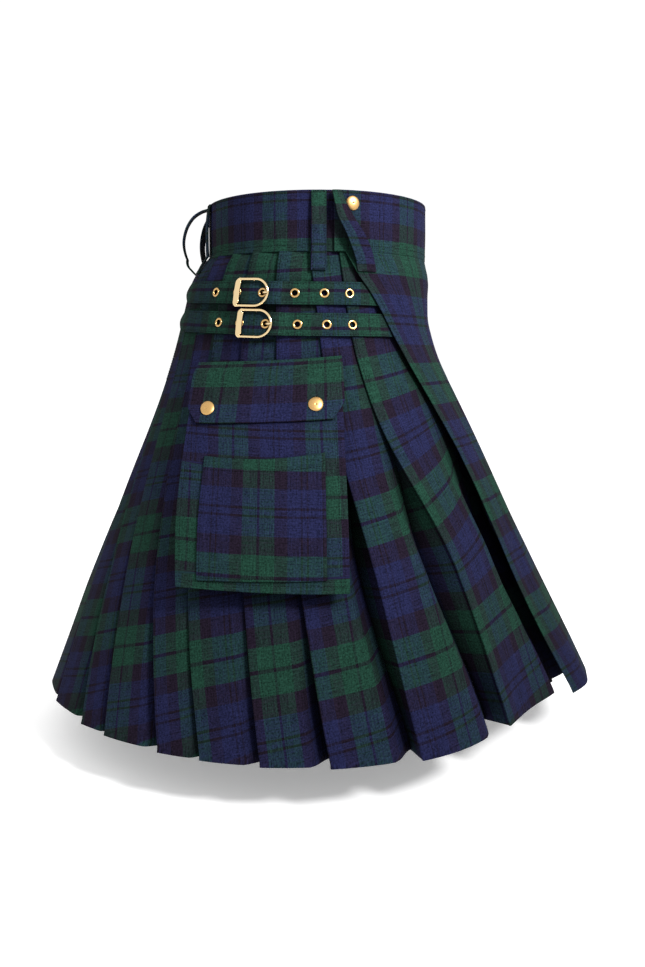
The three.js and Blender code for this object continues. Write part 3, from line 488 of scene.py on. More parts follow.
# ---- pleats
pleats = {
    "waist": [79, 93, 108, 122, 135, 148, 160, 171, 182, 193, 204, 215, 226, 237, 248, 259, 270, 281, 291, 301],
    "hip": [68.5, 85, 103, 117, 131, 143, 155, 166, 177, 188, 200, 211, 223, 234, 246, 257, 269, 281, 293, 307],
    "mid": [52, 76, 94, 107, 121, 131, 143, 153, 165, 178, 192, 205, 218, 230, 243, 255, 268, 281, 296, 315],
    "hem": [48, 72, 88, 100, 111, 119.5, 133, 141, 156, 169, 185, 200, 214, 227, 241, 253, 267, 282, 299, 318],
    "deepMid": [30, 40, 34, 12, 9, 8, 13, 14, 28, 12, 14, 11, 15, 12, 16, 11, 14, 18, 20, 22],
    "deepHem": [26, 34, 32, 30, 18, 16, 28, 26, 38, 22, 25, 21, 27, 23, 28, 20, 26, 27, 26, 25],
    "tuckMid": [4, -18, -12, 6, 9, 9, 7, 7, 6, 7, 6, 8, 5, 7, 4, 8, 6, 2, 0, -4],
    "tuckHem": [0, -4, 0, 1, 2, 2, 1, 1, 0, 1, 1, 2, 0, 1, 0, 2, 1, 0, -2, -4],
    # millimetres of cloth past the green line at each fold; where down the fold the lowest
    # green row lies, and how far apart the green rows are there
    "across": [3, 32, 51, -26, 3, 49, -18, 12, 40, -30, 8, 62, 20, -12, 44, 2, 70, 28, -8, 50],
    "rowAt": [452, 458, 464, 466, 466, 468, 470, 468, 464, 462, 462, 462, 462, 462, 462, 462, 462, 460, 458, 456],
    "rowLong": [152, 150, 146, 146, 146, 130, 126, 126, 130, 138, 140, 140, 140, 140, 140, 140, 140, 140, 142, 144],
}
heights = [4, 175, 370, 546]
rightEnd = {"down": [4, 72, 126, 244, 317, 546], "turn": [70, 50, 38, 25, 22, 18]}
leftEnd = {"down": [4, 126, 317, 546], "turn": [314, 327, 338, 342]}
stitched = {"tuck": 15.0, "foldOff": 2.6, "opens": 155, "open": 370, "inset": 2.2}
fold = {"gap": 1.6, "play": 0.3, "lift": 4.0, "bend": 0.75}
skirtTop = 3.9
hangs = {"pleats": 549.0, "apron": 554.0}
skirtWall = 1.2
seamGap = 0.4


def opening(down):
    # how far the pleats have opened, from the sewn part to the middle and from there to the hem
    return smooth(stitched["opens"], stitched["open"], down), smooth(stitched["open"], hem, down)


def between(name, i, hemward):
    # a pleat's depth or tuck, from the middle to the hem
    middle, low = pleats[name + "Mid"][i], pleats[name + "Hem"][i]
    return middle + (low - middle) * hemward


def foldTurn(i, down):
    return smoothLine(heights, [pleats[name][i] for name in ("waist", "hip", "mid", "hem")], down)


def pleatColumns(down):
    # for every fold, from the left end: the fold's round, the face, the valley's round and the
    # way back out. Each column is (turn, off, fold whose stripes it carries, side of the seam)
    opened, hemward = opening(down)
    foldOff = stitched["foldOff"] + fold["lift"] * opened
    columns = []
    for i in range(20, -1, -1):
        turn = foldTurn(i, down) if i < 20 else smoothLine(leftEnd["down"], leftEnd["turn"], down)
        k = min(i, 19)
        nextTurn = foldTurn(i - 1, down) if i else smoothLine(rightEnd["down"], rightEnd["turn"], down)
        rate = perDegree(turn, down)
        face = (turn - nextTurn) * rate
        low = between("tuck", k, hemward)
        tuck = stitched["tuck"] + (low - stitched["tuck"]) * opened if i else 0.0 * down
        flatDeep = (2 * fold["gap"] + fold["play"]) * (1 + np.maximum(0, tuck) / face)
        lowDeep = np.maximum(flatDeep, between("deep", k, hemward))
        deep = flatDeep + (lowDeep - flatDeep) * opened
        valley = nextTurn - tuck / rate
        bow = fold["gap"] / 2
        if i < 20:
            for angle in np.radians([-90, -50, 0, 50]):
                columns.append((turn + bow * math.cos(angle) / rate,
                                foldOff - bow + bow * math.sin(angle), i, "face"))
        # the face lies near flat, then rolls in towards its valley
        bend = fold["bend"] * opened
        # the pleat beside the apron rolls later towards the hem, so that it fills the gap there
        rollFrom, rollTo = (0.6 + 0.13 * hemward, 0.84 + 0.11 * hemward) if i == 0 else (0.66, 1.0)
        for u in [0, 0.03, 0.08, 0.15, 0.24, 0.34, 0.44, 0.54, 0.62, 0.69, 0.75, 0.8, 0.85, 0.9, 0.95, 1.0]:
            sink = u * (1 - bend) + bend * smooth(rollFrom, rollTo, u)
            columns.append((turn + (valley - turn) * u, foldOff - deep * sink, i, "face"))
        if i == 0:
            break
        columns.append((valley - bow / rate, foldOff - deep + bow, i, "valley"))
        run, rise = (nextTurn - valley) * rate, deep - 2 * fold["gap"]
        cut = seamGap / np.hypot(run, rise) / 2
        shares = [0.0, 0.25, 0.5 - cut, "seam", 0.5 + cut, 0.75] if i == 10 else [0.0, 0.2, 0.4, 0.6, 0.8]
        for share in shares:
            if isinstance(share, str):
                columns.append("seam")
                continue
            columns.append((valley + (nextTurn - valley) * share,
                            foldOff - deep + fold["gap"] + rise * share, i - 1, "back"))
    return columns


def rowsOn(i, down, beside):
    # rows run square to the fold: with slant a of the fold from the down line, a point lies
    # sum(1 / cos a) along the fold, and sin a further for each millimetre beside it
    fine = np.linspace(0, hem, 274)
    slope = -np.gradient(foldTurn(i, fine), fine) * perDegree(foldTurn(i, fine), fine)
    slope = np.convolve(np.pad(slope, 12, "edge"), np.ones(25) / 25, "valid")
    step = np.hypot(1.0, slope)
    long = np.concatenate([[0.0], np.cumsum((step[1:] + step[:-1]) / 2 * np.diff(fine))])
    place = np.interp(down, fine, long) + beside * np.interp(down, fine, slope / step)
    return (place - pleats["rowAt"][i]) * weftRepeat / pleats["rowLong"][i]


def pleatPanel(columns, down, name):
    turns = np.stack([c[0] for c in columns], axis=1)
    offs = np.stack([c[1] for c in columns], axis=1)
    downs = np.repeat(down[:, None], turns.shape[1], axis=1)
    points = on(turns, downs, offs)
    arc = arcAcross(points)
    owners = [c[2] for c in columns]
    # cloth counted from the outermost point of the fold that a column belongs to
    crest = {}
    for j, (owner, kind) in enumerate((c[2], c[3]) for c in columns):
        if kind == "face" and owner not in crest:
            crest[owner] = min(j + 2, len(columns) - 1)

    def cell(j, owner):
        return pleats["across"][min(owner, 19)] + arc[:, j] - arc[:, crest.get(owner, -1)]

    quads = [(j, owners[j + (columns[j][3] == "valley")]) for j in range(len(columns) - 1)]
    start = np.stack([cell(j, owner) for j, owner in quads], axis=1)
    end = np.stack([cell(j + 1, owner) for j, owner in quads], axis=1)
    along = np.stack([rowsOn(min(owner, 19), down, arc[:, j] - arc[:, crest.get(owner, -1)])
                      for j, owner in enumerate(owners)], axis=1)
    return cloth(name, points, start, along, skirtWall, materials["skirt"], acrossEnd=end, rim=0.3)


rightDowns = np.concatenate([[skirtTop], np.linspace(8, hangs["pleats"], 108)])
columns = pleatColumns(rightDowns)
split = columns.index("seam")
pleatsRight = pleatPanel(columns[split + 1:], rightDowns, "pleats_right_cloth")
leftDowns = np.concatenate([[skirtTop], np.linspace(9, hangs["pleats"], 84)])
columns = pleatColumns(leftDowns)
pleatsLeft = pleatPanel(columns[:split], leftDowns, "pleats_left_cloth")
# Edge stitching holds each fold flat down to the hip
for i in range(20):
    downs = np.linspace(7, 158, 60)
    off = stitched["foldOff"] + fold["lift"] * opening(downs)[0] + skirtWall / 2 + 0.1
    turns = foldTurn(i, downs)
    turns = turns - stitched["inset"] / perDegree(turns, downs)
    stitch("pleats_right" if i < 10 else "pleats_left", on(turns, downs, off - 0.147), on(turns, downs, off + 1))
print("pleats done")

# ---- aprons
apronRight = {"down": [3.9, 29, 47, 72, 99, 126, 175, 244, 317, 400, 546],
              "turn": [77, 71, 65, 58, 52, 46.5, 39, 32, 29, 27, 22]}
apronLeft = {"down": [3.9, 72, 126, 244, 546], "turn": [-53, -46, -40, -31, -26]}
apronOff = {"down": [3.9, 20, 110, 150, 300, 546], "off": [4.3, 7.4, 7.4, 7.0, 8.4, 8.4]}
apron = {"wall": 1.4, "wide": 316.0, "swing": 4.0, "sewn": 7.0, "rowAt": 452, "rowLong": 150}


def apronHeight(down):
    # near the hem the apron swings forward a little
    return np.interp(down, apronOff["down"], apronOff["off"]) + apron["swing"] * smooth(400, 560, down)


def apronRows(down):
    # where on the tartan a height lies: a green row at rowAt, the next one rowLong away
    return (down - apron["rowAt"]) * weftRepeat / apron["rowLong"]


def panelGrid(downs, shares, right, left):
    # turn runs evenly from the right edge to the left edge
    down, share = np.meshgrid(downs, shares, indexing="ij")
    r = smoothLine(right["down"], right["turn"], downs)[:, None]
    l = smoothLine(left["down"], left["turn"], downs)[:, None]
    return r + (l - r) * share, down, share


apronDowns = np.concatenate([[skirtTop, 6, 10, 15], np.linspace(20, hangs["apron"], 100)])
apronShares = np.concatenate([
    [0, 0.004, 0.01, 0.018, 0.026], np.linspace(0.04, 0.96, 82), [0.974, 0.982, 0.99, 0.996, 1]])
turns, grid, share = panelGrid(apronDowns, apronShares, apronRight, apronLeft)
points = on(turns, grid, apronHeight(grid) + apron["wall"] / 2)
outerApron = cloth("outer_apron_cloth", points, share * apron["wide"] + 4.0, apronRows(grid), apron["wall"],
                   materials["skirt"], rim=0.5)
downs = np.linspace(6, hangs["apron"] - 3, 200)
for edge, way in ((apronRight, -1), (apronLeft, 1)):
    turns = smoothLine(edge["down"], edge["turn"], downs)
    turns = turns + way * apron["sewn"] / perDegree(turns, downs, 8)
    top = apronHeight(downs) + apron["wall"]
    stitch("apron", on(turns, downs, top), on(turns, downs, top + 1))
underLeft = {"down": [3.9, 126, 317, 546], "turn": [-39, -27, -16, -12]}


def endOff(down):
    # how far out the pleated cloth ends, under the outer apron
    opened, hemward = opening(down)
    flatDeep = 2 * fold["gap"] + fold["play"]
    lowDeep = np.maximum(flatDeep, between("deep", 0, hemward))
    return stitched["foldOff"] + fold["lift"] * opened - flatDeep - (lowDeep - flatDeep) * opened


underDowns = np.linspace(skirtTop, hem, 60)
underRight = smoothLine(rightEnd["down"], rightEnd["turn"], underDowns)
underRight = underRight - 0.5 / perDegree(underRight, underDowns)
turns, grid, share = panelGrid(underDowns, np.linspace(0, 1, 56), {"down": underDowns, "turn": underRight}, underLeft)
# low down it comes out towards the outer apron that it hangs behind
points = on(turns, grid, endOff(grid) + 9.0 * smooth(0, 0.25, share) * smooth(330, 500, grid))
underApron = cloth("under_apron_cloth", points, share * 240.0 + 20.0, apronRows(grid), skirtWall,
                   materials["skirt"], rim=0.3)
print("aprons done")

# ---- belt loops
loopSize = {"wide": 16.0, "thick": 1.8}
bandFace = bandSize["thick"] + 0.4
lapFace = bandSize["lap"] + bandSize["thick"] + 0.4
pleatFace = 3.6
apronFace = 9.3


def flatLoop(turn, off, foot):
    return [(-60, turn, off), (-52, turn, off + 1.6), (-36, turn, off + 3.2), (-10, turn, off + 3.4),
            (8, turn, max(off + 2.4, foot + 1)), (18, turn, foot + 0.6), (25, turn, foot)]


def standingLoop(turn, off, reach):
    return [(-60, turn, off), (-57, turn, off + reach * 0.3), (-50, turn, off + reach * 0.62),
            (-37, turn, off + reach * 0.88), (-20, turn, off + reach), (-3, turn, off + reach * 0.9),
            (9, turn, off + reach * 0.66), (18, turn, off + reach * 0.3), (24, turn, pleatFace + 0.6)]


# rows are (down, turn, off); across and along say where on the tartan a loop is cut
beltLoops = {
    "right": {"rows": flatLoop(89.5, bandFace, pleatFace), "across": 10, "along": 6},
    "back_right": {"rows": flatLoop(164, bandFace, pleatFace), "across": 10, "along": 30},
    # the back and back_left loops are cut from the black band of the tartan: painted shade, standing in for the shadow
    # they lie in
    "back": {"rows": standingLoop(180, bandFace, 31), "across": 23, "along": 35},
    "back_left": {"rows": standingLoop(197, bandFace, 20), "across": 23, "along": 40},
    "left": {"rows": flatLoop(-90, bandFace, pleatFace), "across": 5, "along": 90},
    "front_left": {"rows": flatLoop(-30, lapFace, apronFace), "across": 60, "along": 10},
    "front_right": {"rows": [
        (-60, 81.2, lapFace), (-54, 80.8, lapFace + 4), (-44, 79.8, lapFace + 8.5), (-30, 77.6, lapFace + 11),
        (-14, 73.6, lapFace + 10.5), (2, 70.2, lapFace + 8), (14, 68.2, lapFace + 5), (22, 67.2, lapFace + 2.4),
        (26, 66.8, apronFace)], "across": 79, "along": 5, "opened": True},
}
loopSides = np.array([-8, -7.4, -6.4, -5.4, -3, 0, 3, 5.4, 6.4, 7.4, 8])
for name, loop in beltLoops.items():
    line = catmull(loop["rows"], np.linspace(0, len(loop["rows"]) - 1, 64))
    down, turn, off = (line[:, k:k + 1] for k in range(3))
    # the leaning loop is opened out: narrower at its top, broader at its foot
    swell = 0.42 * smooth(-45, 2, down) - 0.35 * smooth(-30, -60, down)
    sides = loopSides[None] * (1 + swell * ("opened" in loop))
    rate = perDegree(turn, down, off)
    belly = 0.35 * np.exp(-((np.abs(loopSides[None]) - 6.4) / 1.2) ** 2)
    grid = on(turn + sides / rate, down + 0 * sides, off + loopSize["thick"] / 2 - belly)
    long = np.concatenate([[0.0], np.cumsum(np.linalg.norm(np.diff(grid[:, 5], axis=0), axis=-1))])
    item = cloth(f"belt_loop_{name}_cloth", grid, loop["across"] + loopSides[None] + 0 * down,
                 loop["along"] + long[:, None] + 0 * loopSides[None], loopSize["thick"], materials["band"], rim=0.6)
    facts = {
        "nodes": [f"belt_loop_{name}"], "slot": "waistband_cloth", "held": "stretched",
        "flat": (loopSize["wide"] * metres, round(float(long[-1]) * metres, 3)), "restsOn": ["waistband"],
    }
    rideOn(item, facts)
    for side in (-6.2, 6.2):
        base = on(turn + side / rate, down, off + loopSize["thick"] - 0.3)[:, 0]
        stitch("loops", base, on(turn + side / rate, down, off + loopSize["thick"] + 0.7)[:, 0])
    for k in (2, 4, -5, -3):
        sides = np.linspace(-6, 6, 8)
        place = [np.repeat(value[k], 8) for value in (turn, down, off)]
        t = place[0] + sides / rate[k]
        top = place[2] + loopSize["thick"]
        stitch("loops", on(t, place[1], top), on(t, place[1], top + 1), 1.6)
print("belt loops done")

# ---- hip straps with eyelets and buckles
strap = {"wide": 25.0, "thick": 1.8, "off": 4.2, "lift": 4.2, "start": 53.0, "square": 158.0, "tip": 168.0,
         "sewn": 10.6}
raised = {"flat": 26.5, "ease": 10.0}
straps = {
    "upper": {"down": 50.0, "buckle": 116.0, "eyelets": [75, 87, 99, 111.5, 122.6, 135.5], "across": 30, "along": 3},
    "lower": {"down": 84.0, "buckle": 113.5, "eyelets": [74, 86, 97.6, 109.3, 119.8, 131], "across": 2, "along": -4},
}
eyeletBlock = {"half": 7.2, "cells": 8, "hole": 3.5}


def strapOff(row, turn):
    away = np.abs(turn - row["buckle"]) * perDegree(row["buckle"], row["down"], strap["off"])
    return strap["off"] + strap["lift"] * (1 - smooth(raised["flat"], raised["flat"] + raised["ease"], away))


def strapHalf(turn):
    return (strap["wide"] / 2) * (1 - 0.92 * smooth(strap["square"], strap["tip"] + 3, turn))


def strapPiece(name, row):
    half = eyeletBlock["half"]
    rates = [float(perDegree(turn, row["down"], strap["off"])) for turn in row["eyelets"]]
    cuts = []
    last = strap["start"]
    for turn, rate in zip(row["eyelets"], rates):
        low, high = turn - half / rate, turn + half / rate
        count = max(2, int((low - last) * rate / 3))
        cuts += np.linspace(last, low, count, endpoint=False).tolist()
        cuts += np.linspace(low, high, eyeletBlock["cells"], endpoint=False).tolist()
        last = high
    cuts += np.linspace(last, strap["square"], 24, endpoint=False).tolist()
    cuts += np.linspace(strap["square"], strap["tip"], 12).tolist()
    inner = np.linspace(-half, half, eyeletBlock["cells"] + 1)
    sides = np.concatenate([[-12.5, -11.8, -10.8, -9.4], inner, [9.4, 10.8, 11.8, 12.5]])
    turns, across = np.meshgrid(np.array(cuts), sides, indexing="ij")
    ring = np.full(turns.shape, 9.0)
    for turn, rate in zip(row["eyelets"], rates):
        # squares round an eyelet are drawn out to circles, and the middle is left open
        x, y = (turns - turn) * rate, across
        square = np.maximum(np.abs(x), np.abs(y)) / half * (eyeletBlock["cells"] / 2)
        inside = square < eyeletBlock["cells"] / 2 + 0.01
        reach = np.hypot(x, y) + 1e-9
        w = np.clip((square - 1) / (eyeletBlock["cells"] / 2 - 1), 0, 1)
        wx = (x / reach * eyeletBlock["hole"]) * (1 - w) + x * w
        wy = (y / reach * eyeletBlock["hole"]) * (1 - w) + y * w
        turns = np.where(inside, turn + wx / rate, turns)
        across = np.where(inside, wy, across)
        ring = np.where(inside, square, ring)
    hole = ring < 1.05
    keep = ~(hole[1:, 1:] & hole[:-1, 1:] & hole[1:, :-1] & hole[:-1, :-1])
    narrow = strapHalf(turns) / (strap["wide"] / 2)
    roll = 0.3 * np.exp(-((np.abs(across) - strap["sewn"]) / 1.1) ** 2)
    points = on(turns, row["down"] + across * narrow, strapOff(row, turns) + strap["thick"] / 2 - roll)
    rate = perDegree(100.0, row["down"], strap["off"])
    item = cloth(f"strap_{name}_cloth", points, row["across"] + turns * rate, row["along"] + across * narrow,
                 strap["thick"], materials["strap"], keep=keep, rim=0.55)
    facts = {
        "nodes": [f"strap_{name}"], "slot": "strap_cloth", "held": "stretched", "flat": (0.325, 0.025),
        "restsOn": ["pleats_right"],
    }
    for side in (-strap["sewn"], strap["sewn"]):
        turns = np.linspace(strap["start"], strap["tip"] - 1.5, 260)
        down = row["down"] + side * strapHalf(turns) / (strap["wide"] / 2)
        top = strapOff(row, turns) + strap["thick"] - 0.25
        stitch("straps", on(turns, down, top), on(turns, down, top + 1))
    return rideOn(item, facts)


def roundForm(turn, down, off, profile, sides):
    # the profile's rows of (radius, height), turned about a line square to the cloth
    angle = np.arange(sides)[:, None] * 2 * np.pi / sides
    radius, height = np.asarray(profile, float).T
    turns = turn + radius[None] * np.cos(angle) / perDegree(turn, down, off)
    return on(turns, down + radius[None] * np.sin(angle), off + height[None] + 0 * turns)


def eyeletProfile():
    # rolled outer flange, barrel and flat washer behind, as radius and height
    flange = [(3.02 + 1.1 * (1 - math.cos(a)), 2.06 + 0.85 * math.sin(a))
              for a in np.linspace(0.15, math.pi - 0.02, 12)]
    washer = [(3.0, -0.75), (3.8, -0.72), (4.6, -0.55), (4.4, -0.3), (3.25, -0.25)]
    return washer + [(3.25, 2.05), (5.1, 2.02)] + flange[::-1]


ring = {"halfHigh": 14.7, "straight": 17.3, "bow": -5.0, "wire": 1.4, "broad": 3.5, "over": 12.8}
bar = {"along": 2.0, "off": 5.8, "wire": 0.75}
prongHole = 3


def buckleMap(row):
    rate = perDegree(row["buckle"], row["down"], strap["off"] + strap["lift"])
    return lambda along, across, off: on(row["buckle"] + along / rate, row["down"] + across, off)


def resample(rows, count, looped=False):
    rows = np.asarray(rows, float)
    if looped:
        rows = np.concatenate([rows[-2:], rows, rows[:3]])
        return catmull(rows, np.linspace(2, len(rows) - 3, count, endpoint=False))
    return catmull(rows, np.linspace(0, len(rows) - 1, count))


def buckleFrame(name, row):
    place = buckleMap(row)
    # rows are (along, across, outward along, outward across, half width, half height)
    path = []
    for angle in np.radians(np.linspace(90, 270, 15)):
        c, s = math.cos(angle), math.sin(angle)
        path.append((ring["bow"] + ring["halfHigh"] * c, ring["halfHigh"] * s, c, s, ring["wire"], ring["wire"]))
    end, high = ring["straight"], ring["halfHigh"]
    wire, broad = ring["wire"], ring["broad"]
    path += [(3, -high, 0, -1, wire, wire), (8, -high, 0, -1, wire, wire), (end - 3.4, -high, 0, -1, wire, wire),
             (end - 0.9, -high + 0.1, 0.5, -0.86, wire * 1.3, wire), (end, -high + 2.6, 0.97, -0.2, broad, wire),
             (end + 0.3, -high / 2, 1, 0, broad, wire), (end + 0.5, 0, 1, 0, broad, wire),
             (end + 0.3, high / 2, 1, 0, broad, wire), (end, high - 2.6, 0.97, 0.2, broad, wire),
             (end - 0.9, high - 0.1, 0.5, 0.86, wire * 1.3, wire), (end - 3.4, high, 0, 1, wire, wire),
             (8, high, 0, 1, wire, wire), (3, high, 0, 1, wire, wire)]
    line = resample(path, 150, looped=True)
    angle = np.arange(16) * 2 * np.pi / 16
    # an ellipse on the wire; on the flat bar the power rounds its corners less
    power = np.interp(line[:, 4:5], [wire, broad], [1.0, 0.6])
    c = np.sign(np.cos(angle)) * np.abs(np.cos(angle)) ** power
    s = np.sign(np.sin(angle)) * np.abs(np.sin(angle)) ** power
    x = line[:, 0:1] + line[:, 2:3] * line[:, 4:5] * c
    y = line[:, 1:2] + line[:, 3:4] * line[:, 4:5] * c
    parts = [(place(x, y, ring["over"] + line[:, 5:6] * s), True)]
    around = np.arange(10) * 2 * np.pi / 10
    rod = np.linspace(-(high + bar["wire"]), high + bar["wire"], 14)[:, None]
    parts.append((place(bar["along"] + bar["wire"] * np.cos(around)[None] + 0 * rod, rod + 0 * around[None],
                        bar["off"] + bar["wire"] * np.sin(around)[None] + 0 * rod), False))
    for side in (-1, 1):
        leg = np.linspace(bar["off"] - bar["wire"], ring["over"], 8)[:, None]
        parts.append((place(bar["along"] + bar["wire"] * np.cos(around)[None] + 0 * leg,
                            side * high + bar["wire"] * np.sin(around)[None] + 0 * leg, leg + 0 * around[None]), False))
    return tubePiece(parts, f"buckle_frame_{name}_brass", materials["buckle"],
                     {"nodes": [f"buckle_frame_{name}"], "slot": "buckle_brass"})


def buckleProng(name, row):
    place = buckleMap(row)
    hook = 1.8
    rows = []
    for angle in np.radians([-80, -30, 20, 60]):
        rows.append((bar["along"] + hook * math.cos(angle), bar["off"] + hook * math.sin(angle)))
    through = float((row["eyelets"][prongHole] - row["buckle"])
                    * perDegree(row["buckle"], row["down"], strap["off"] + strap["lift"]))
    rows += [(0, 6.9), (through + 3, 6.4), (through + 1.1, 6.9), (through + 0.1, 8.6), (through - 0.4, 10.9),
             (through - 2, 13.4), (-17, ring["over"] + ring["wire"] + 1.1), (-20.4, ring["over"] + ring["wire"] + 0.6)]
    line = resample(rows, 70)
    way = np.gradient(line, axis=0)
    way /= np.linalg.norm(way, axis=1, keepdims=True)
    tip = np.sqrt(np.clip((70 - np.arange(70)) / 6, 0.02, 1))[:, None]
    angle = np.arange(12) * 2 * np.pi / 12
    c, s = 0.62 * np.cos(angle)[None] * tip, 1.15 * np.sin(angle)[None] * tip
    x = line[:, 0:1] - way[:, 1:2] * c
    off = line[:, 1:2] + way[:, 0:1] * c
    return tubePiece([(place(x, s, off), False)], f"buckle_prong_{name}_brass", materials["buckle"],
                     {"nodes": [f"buckle_prong_{name}"], "slot": "buckle_brass"})


def buckleTab(name, row):
    place = buckleMap(row)
    radius = bar["wire"] + 0.55 + 0.5
    sleeve = [(bar["along"] + radius * math.cos(a), bar["off"] + radius * math.sin(a))
              for a in np.radians([-90, -135, 180, 135, 90])]
    rows = [(24, 4.2), (16, 4.2), (8, 4.1)] + sleeve + [(8, 7.1), (16, 6.6), (24, 5.6)]
    line = resample(rows, 61)
    sides = np.array([-11, -10, -8, -5, -2, 2, 5, 8, 10, 11.0])
    grid = place(line[:, 0:1] + 0 * sides[None], sides[None] + 0 * line[:, 0:1], line[:, 1:2] + 0 * sides[None])
    keep = np.ones((60, 9), bool)
    keep[(line[:-1, 0] < 7), 4] = False
    long = arcAcross(np.transpose(grid, (1, 0, 2)))[5]
    item = cloth(f"buckle_tab_{name}_cloth", grid, 20 + sides[None] + 0 * line[:, 0:1], long[:, None] + 0 * sides[None],
                 1.0, materials["strap"], keep=keep, rim=0.3)
    return rideOn(item, {"nodes": [f"buckle_tab_{name}"], "slot": "strap_cloth", "held": "folded",
                         "flat": (0.022, 0.052), "restsOn": [f"buckle_frame_{name}"]})


for name, row in straps.items():
    strapPiece(name, row)
    buckleFrame(name, row)
    buckleProng(name, row)
    buckleTab(name, row)
    for k, turn in enumerate(row["eyelets"]):
        grid = roundForm(turn, row["down"], float(strapOff(row, turn)), eyeletProfile(), 36)
        tubePiece([(grid, True)], f"eyelet_{name}_{k + 1}_brass", materials["eyelet"],
                  {"nodes": [f"eyelet_{name}_{k + 1}"], "slot": "eyelet_brass"})
print("straps done")

# ---- cargo pocket
pocket = {"top": 131.0, "bottom": 372.0, "wide": 165.0, "wall": 1.2, "seam": 0.35, "patchWall": 1.2, "flapWall": 2.0}
flap = {"top": 118.0, "slant": 12.0, "long": 68.0, "turn": 11.0, "clear": 0.6}
pocketEdges = {"down": [112, 207, 300, 400], "right": [80.5, 82, 83, 84], "left": [134.5, 129.5, 124, 118]}
pocketDeep = {"down": [112, 131, 200, 300, 400], "deep": [4.2, 4.8, 13, 20, 22]}
pocketFlat = {"middle": 0.42, "lift": 8.0, "seat": 1.1}


def deepAt(down):
    return np.interp(down, pocketDeep["down"], pocketDeep["deep"])


def overPleats(down):
    return stitched["foldOff"] + fold["lift"] * opening(down)[0] + skirtWall / 2


def onPocket(share, down, height):
    right = np.interp(down, pocketEdges["down"], pocketEdges["right"])
    left = np.interp(down, pocketEdges["down"], pocketEdges["left"])
    base = overPleats(down) + pocketFlat["seat"]
    base = base + pocketFlat["lift"] * np.maximum(0, share - pocketFlat["middle"]) ** 2 / 0.34
    return on(right + (left - right) * share, down, base + height)


def slanted(row, share):
    return row + flap["slant"] * share * (1 - smooth(pocket["top"], 235, row))


# Slack of the pocket's front, zero at its sewn edges: soft dents given one by one
pocketDents = [
    {"share": 0.3, "down": 300, "wide": 0.2, "tall": 50, "high": 1.6},
    {"share": 0.68, "down": 330, "wide": 0.18, "tall": 40, "high": 1.4},
    {"share": 0.5, "down": 250, "wide": 0.3, "tall": 16, "high": -1.0},
    {"share": 0.82, "down": 215, "wide": 0.14, "tall": 26, "high": 1.0},
    {"share": 0.2, "down": 205, "wide": 0.16, "tall": 22, "high": 0.8},
]


def slack(share, down):
    total = 0.0 * (share + down)
    for dent in pocketDents:
        total = total + dent["high"] * np.exp(-((share - dent["share"]) / dent["wide"]) ** 2
                                              - ((down - dent["down"]) / dent["tall"]) ** 2)
    edge = smooth(0.0, 0.12, share) * smooth(0.0, 0.12, 1 - share) * smooth(0, 25, pocket["bottom"] - down)
    return total * edge


def pocketGrid(rows, shares, height, thick):
    row, share = np.meshgrid(rows, shares, indexing="ij")
    down = slanted(row, share)
    return share, down, onPocket(share, down, height(share, down) + thick / 2)


pocketShares = np.concatenate([[0, 0.008, 0.016, 0.03], np.linspace(0.05, 0.95, 46), [0.97, 0.984, 0.992, 1]])
share, down, points = pocketGrid(
    np.linspace(122, pocket["bottom"], 40), np.linspace(0, 1, 40), lambda s, d: 0.0, pocket["wall"])
pocketBack = cloth("pocket_back_cloth", points, arcAcross(points), down, pocket["wall"], materials["pocket"], rim=0.3)
frontRows = np.concatenate([np.linspace(pocket["top"], 365, 66), [367.5, 369.5, 371, 372]])
share, down, points = pocketGrid(frontRows, pocketShares, lambda s, d: deepAt(d) + slack(s, d), pocket["wall"])
# the cloth is pleated behind the patch, so its stripes stand elsewhere below and left of the patch
leftOfPatch, belowPatch = (share > 0.5) & (down > 240), down > 356
frontAlong = down - np.where(belowPatch, 353.0, 272.0 + 50.0 * leftOfPatch)
frontAcross = arcAcross(points) - 24.0 + 45.0 * leftOfPatch - 70.0 * belowPatch
pocketFront = cloth("pocket_front_cloth", points, frontAcross, frontAlong, pocket["wall"], materials["pocket"], rim=0.5)


def frontTop(share, down, extra):
    return onPocket(share, down, deepAt(down) + slack(share, down) + pocket["wall"] + extra)


def frontLine(share, down):
    stitch("pocket", frontTop(share, down, 0.05), frontTop(share, down, 1.05))


downs = np.linspace(190, 365, 90)
for side in (0.028, 0.05, 0.972):
    frontLine(side + 0 * downs, downs)
shares = np.linspace(0.028, 0.972, 80)
frontLine(shares, pocket["bottom"] - 7.5 + 0 * shares)


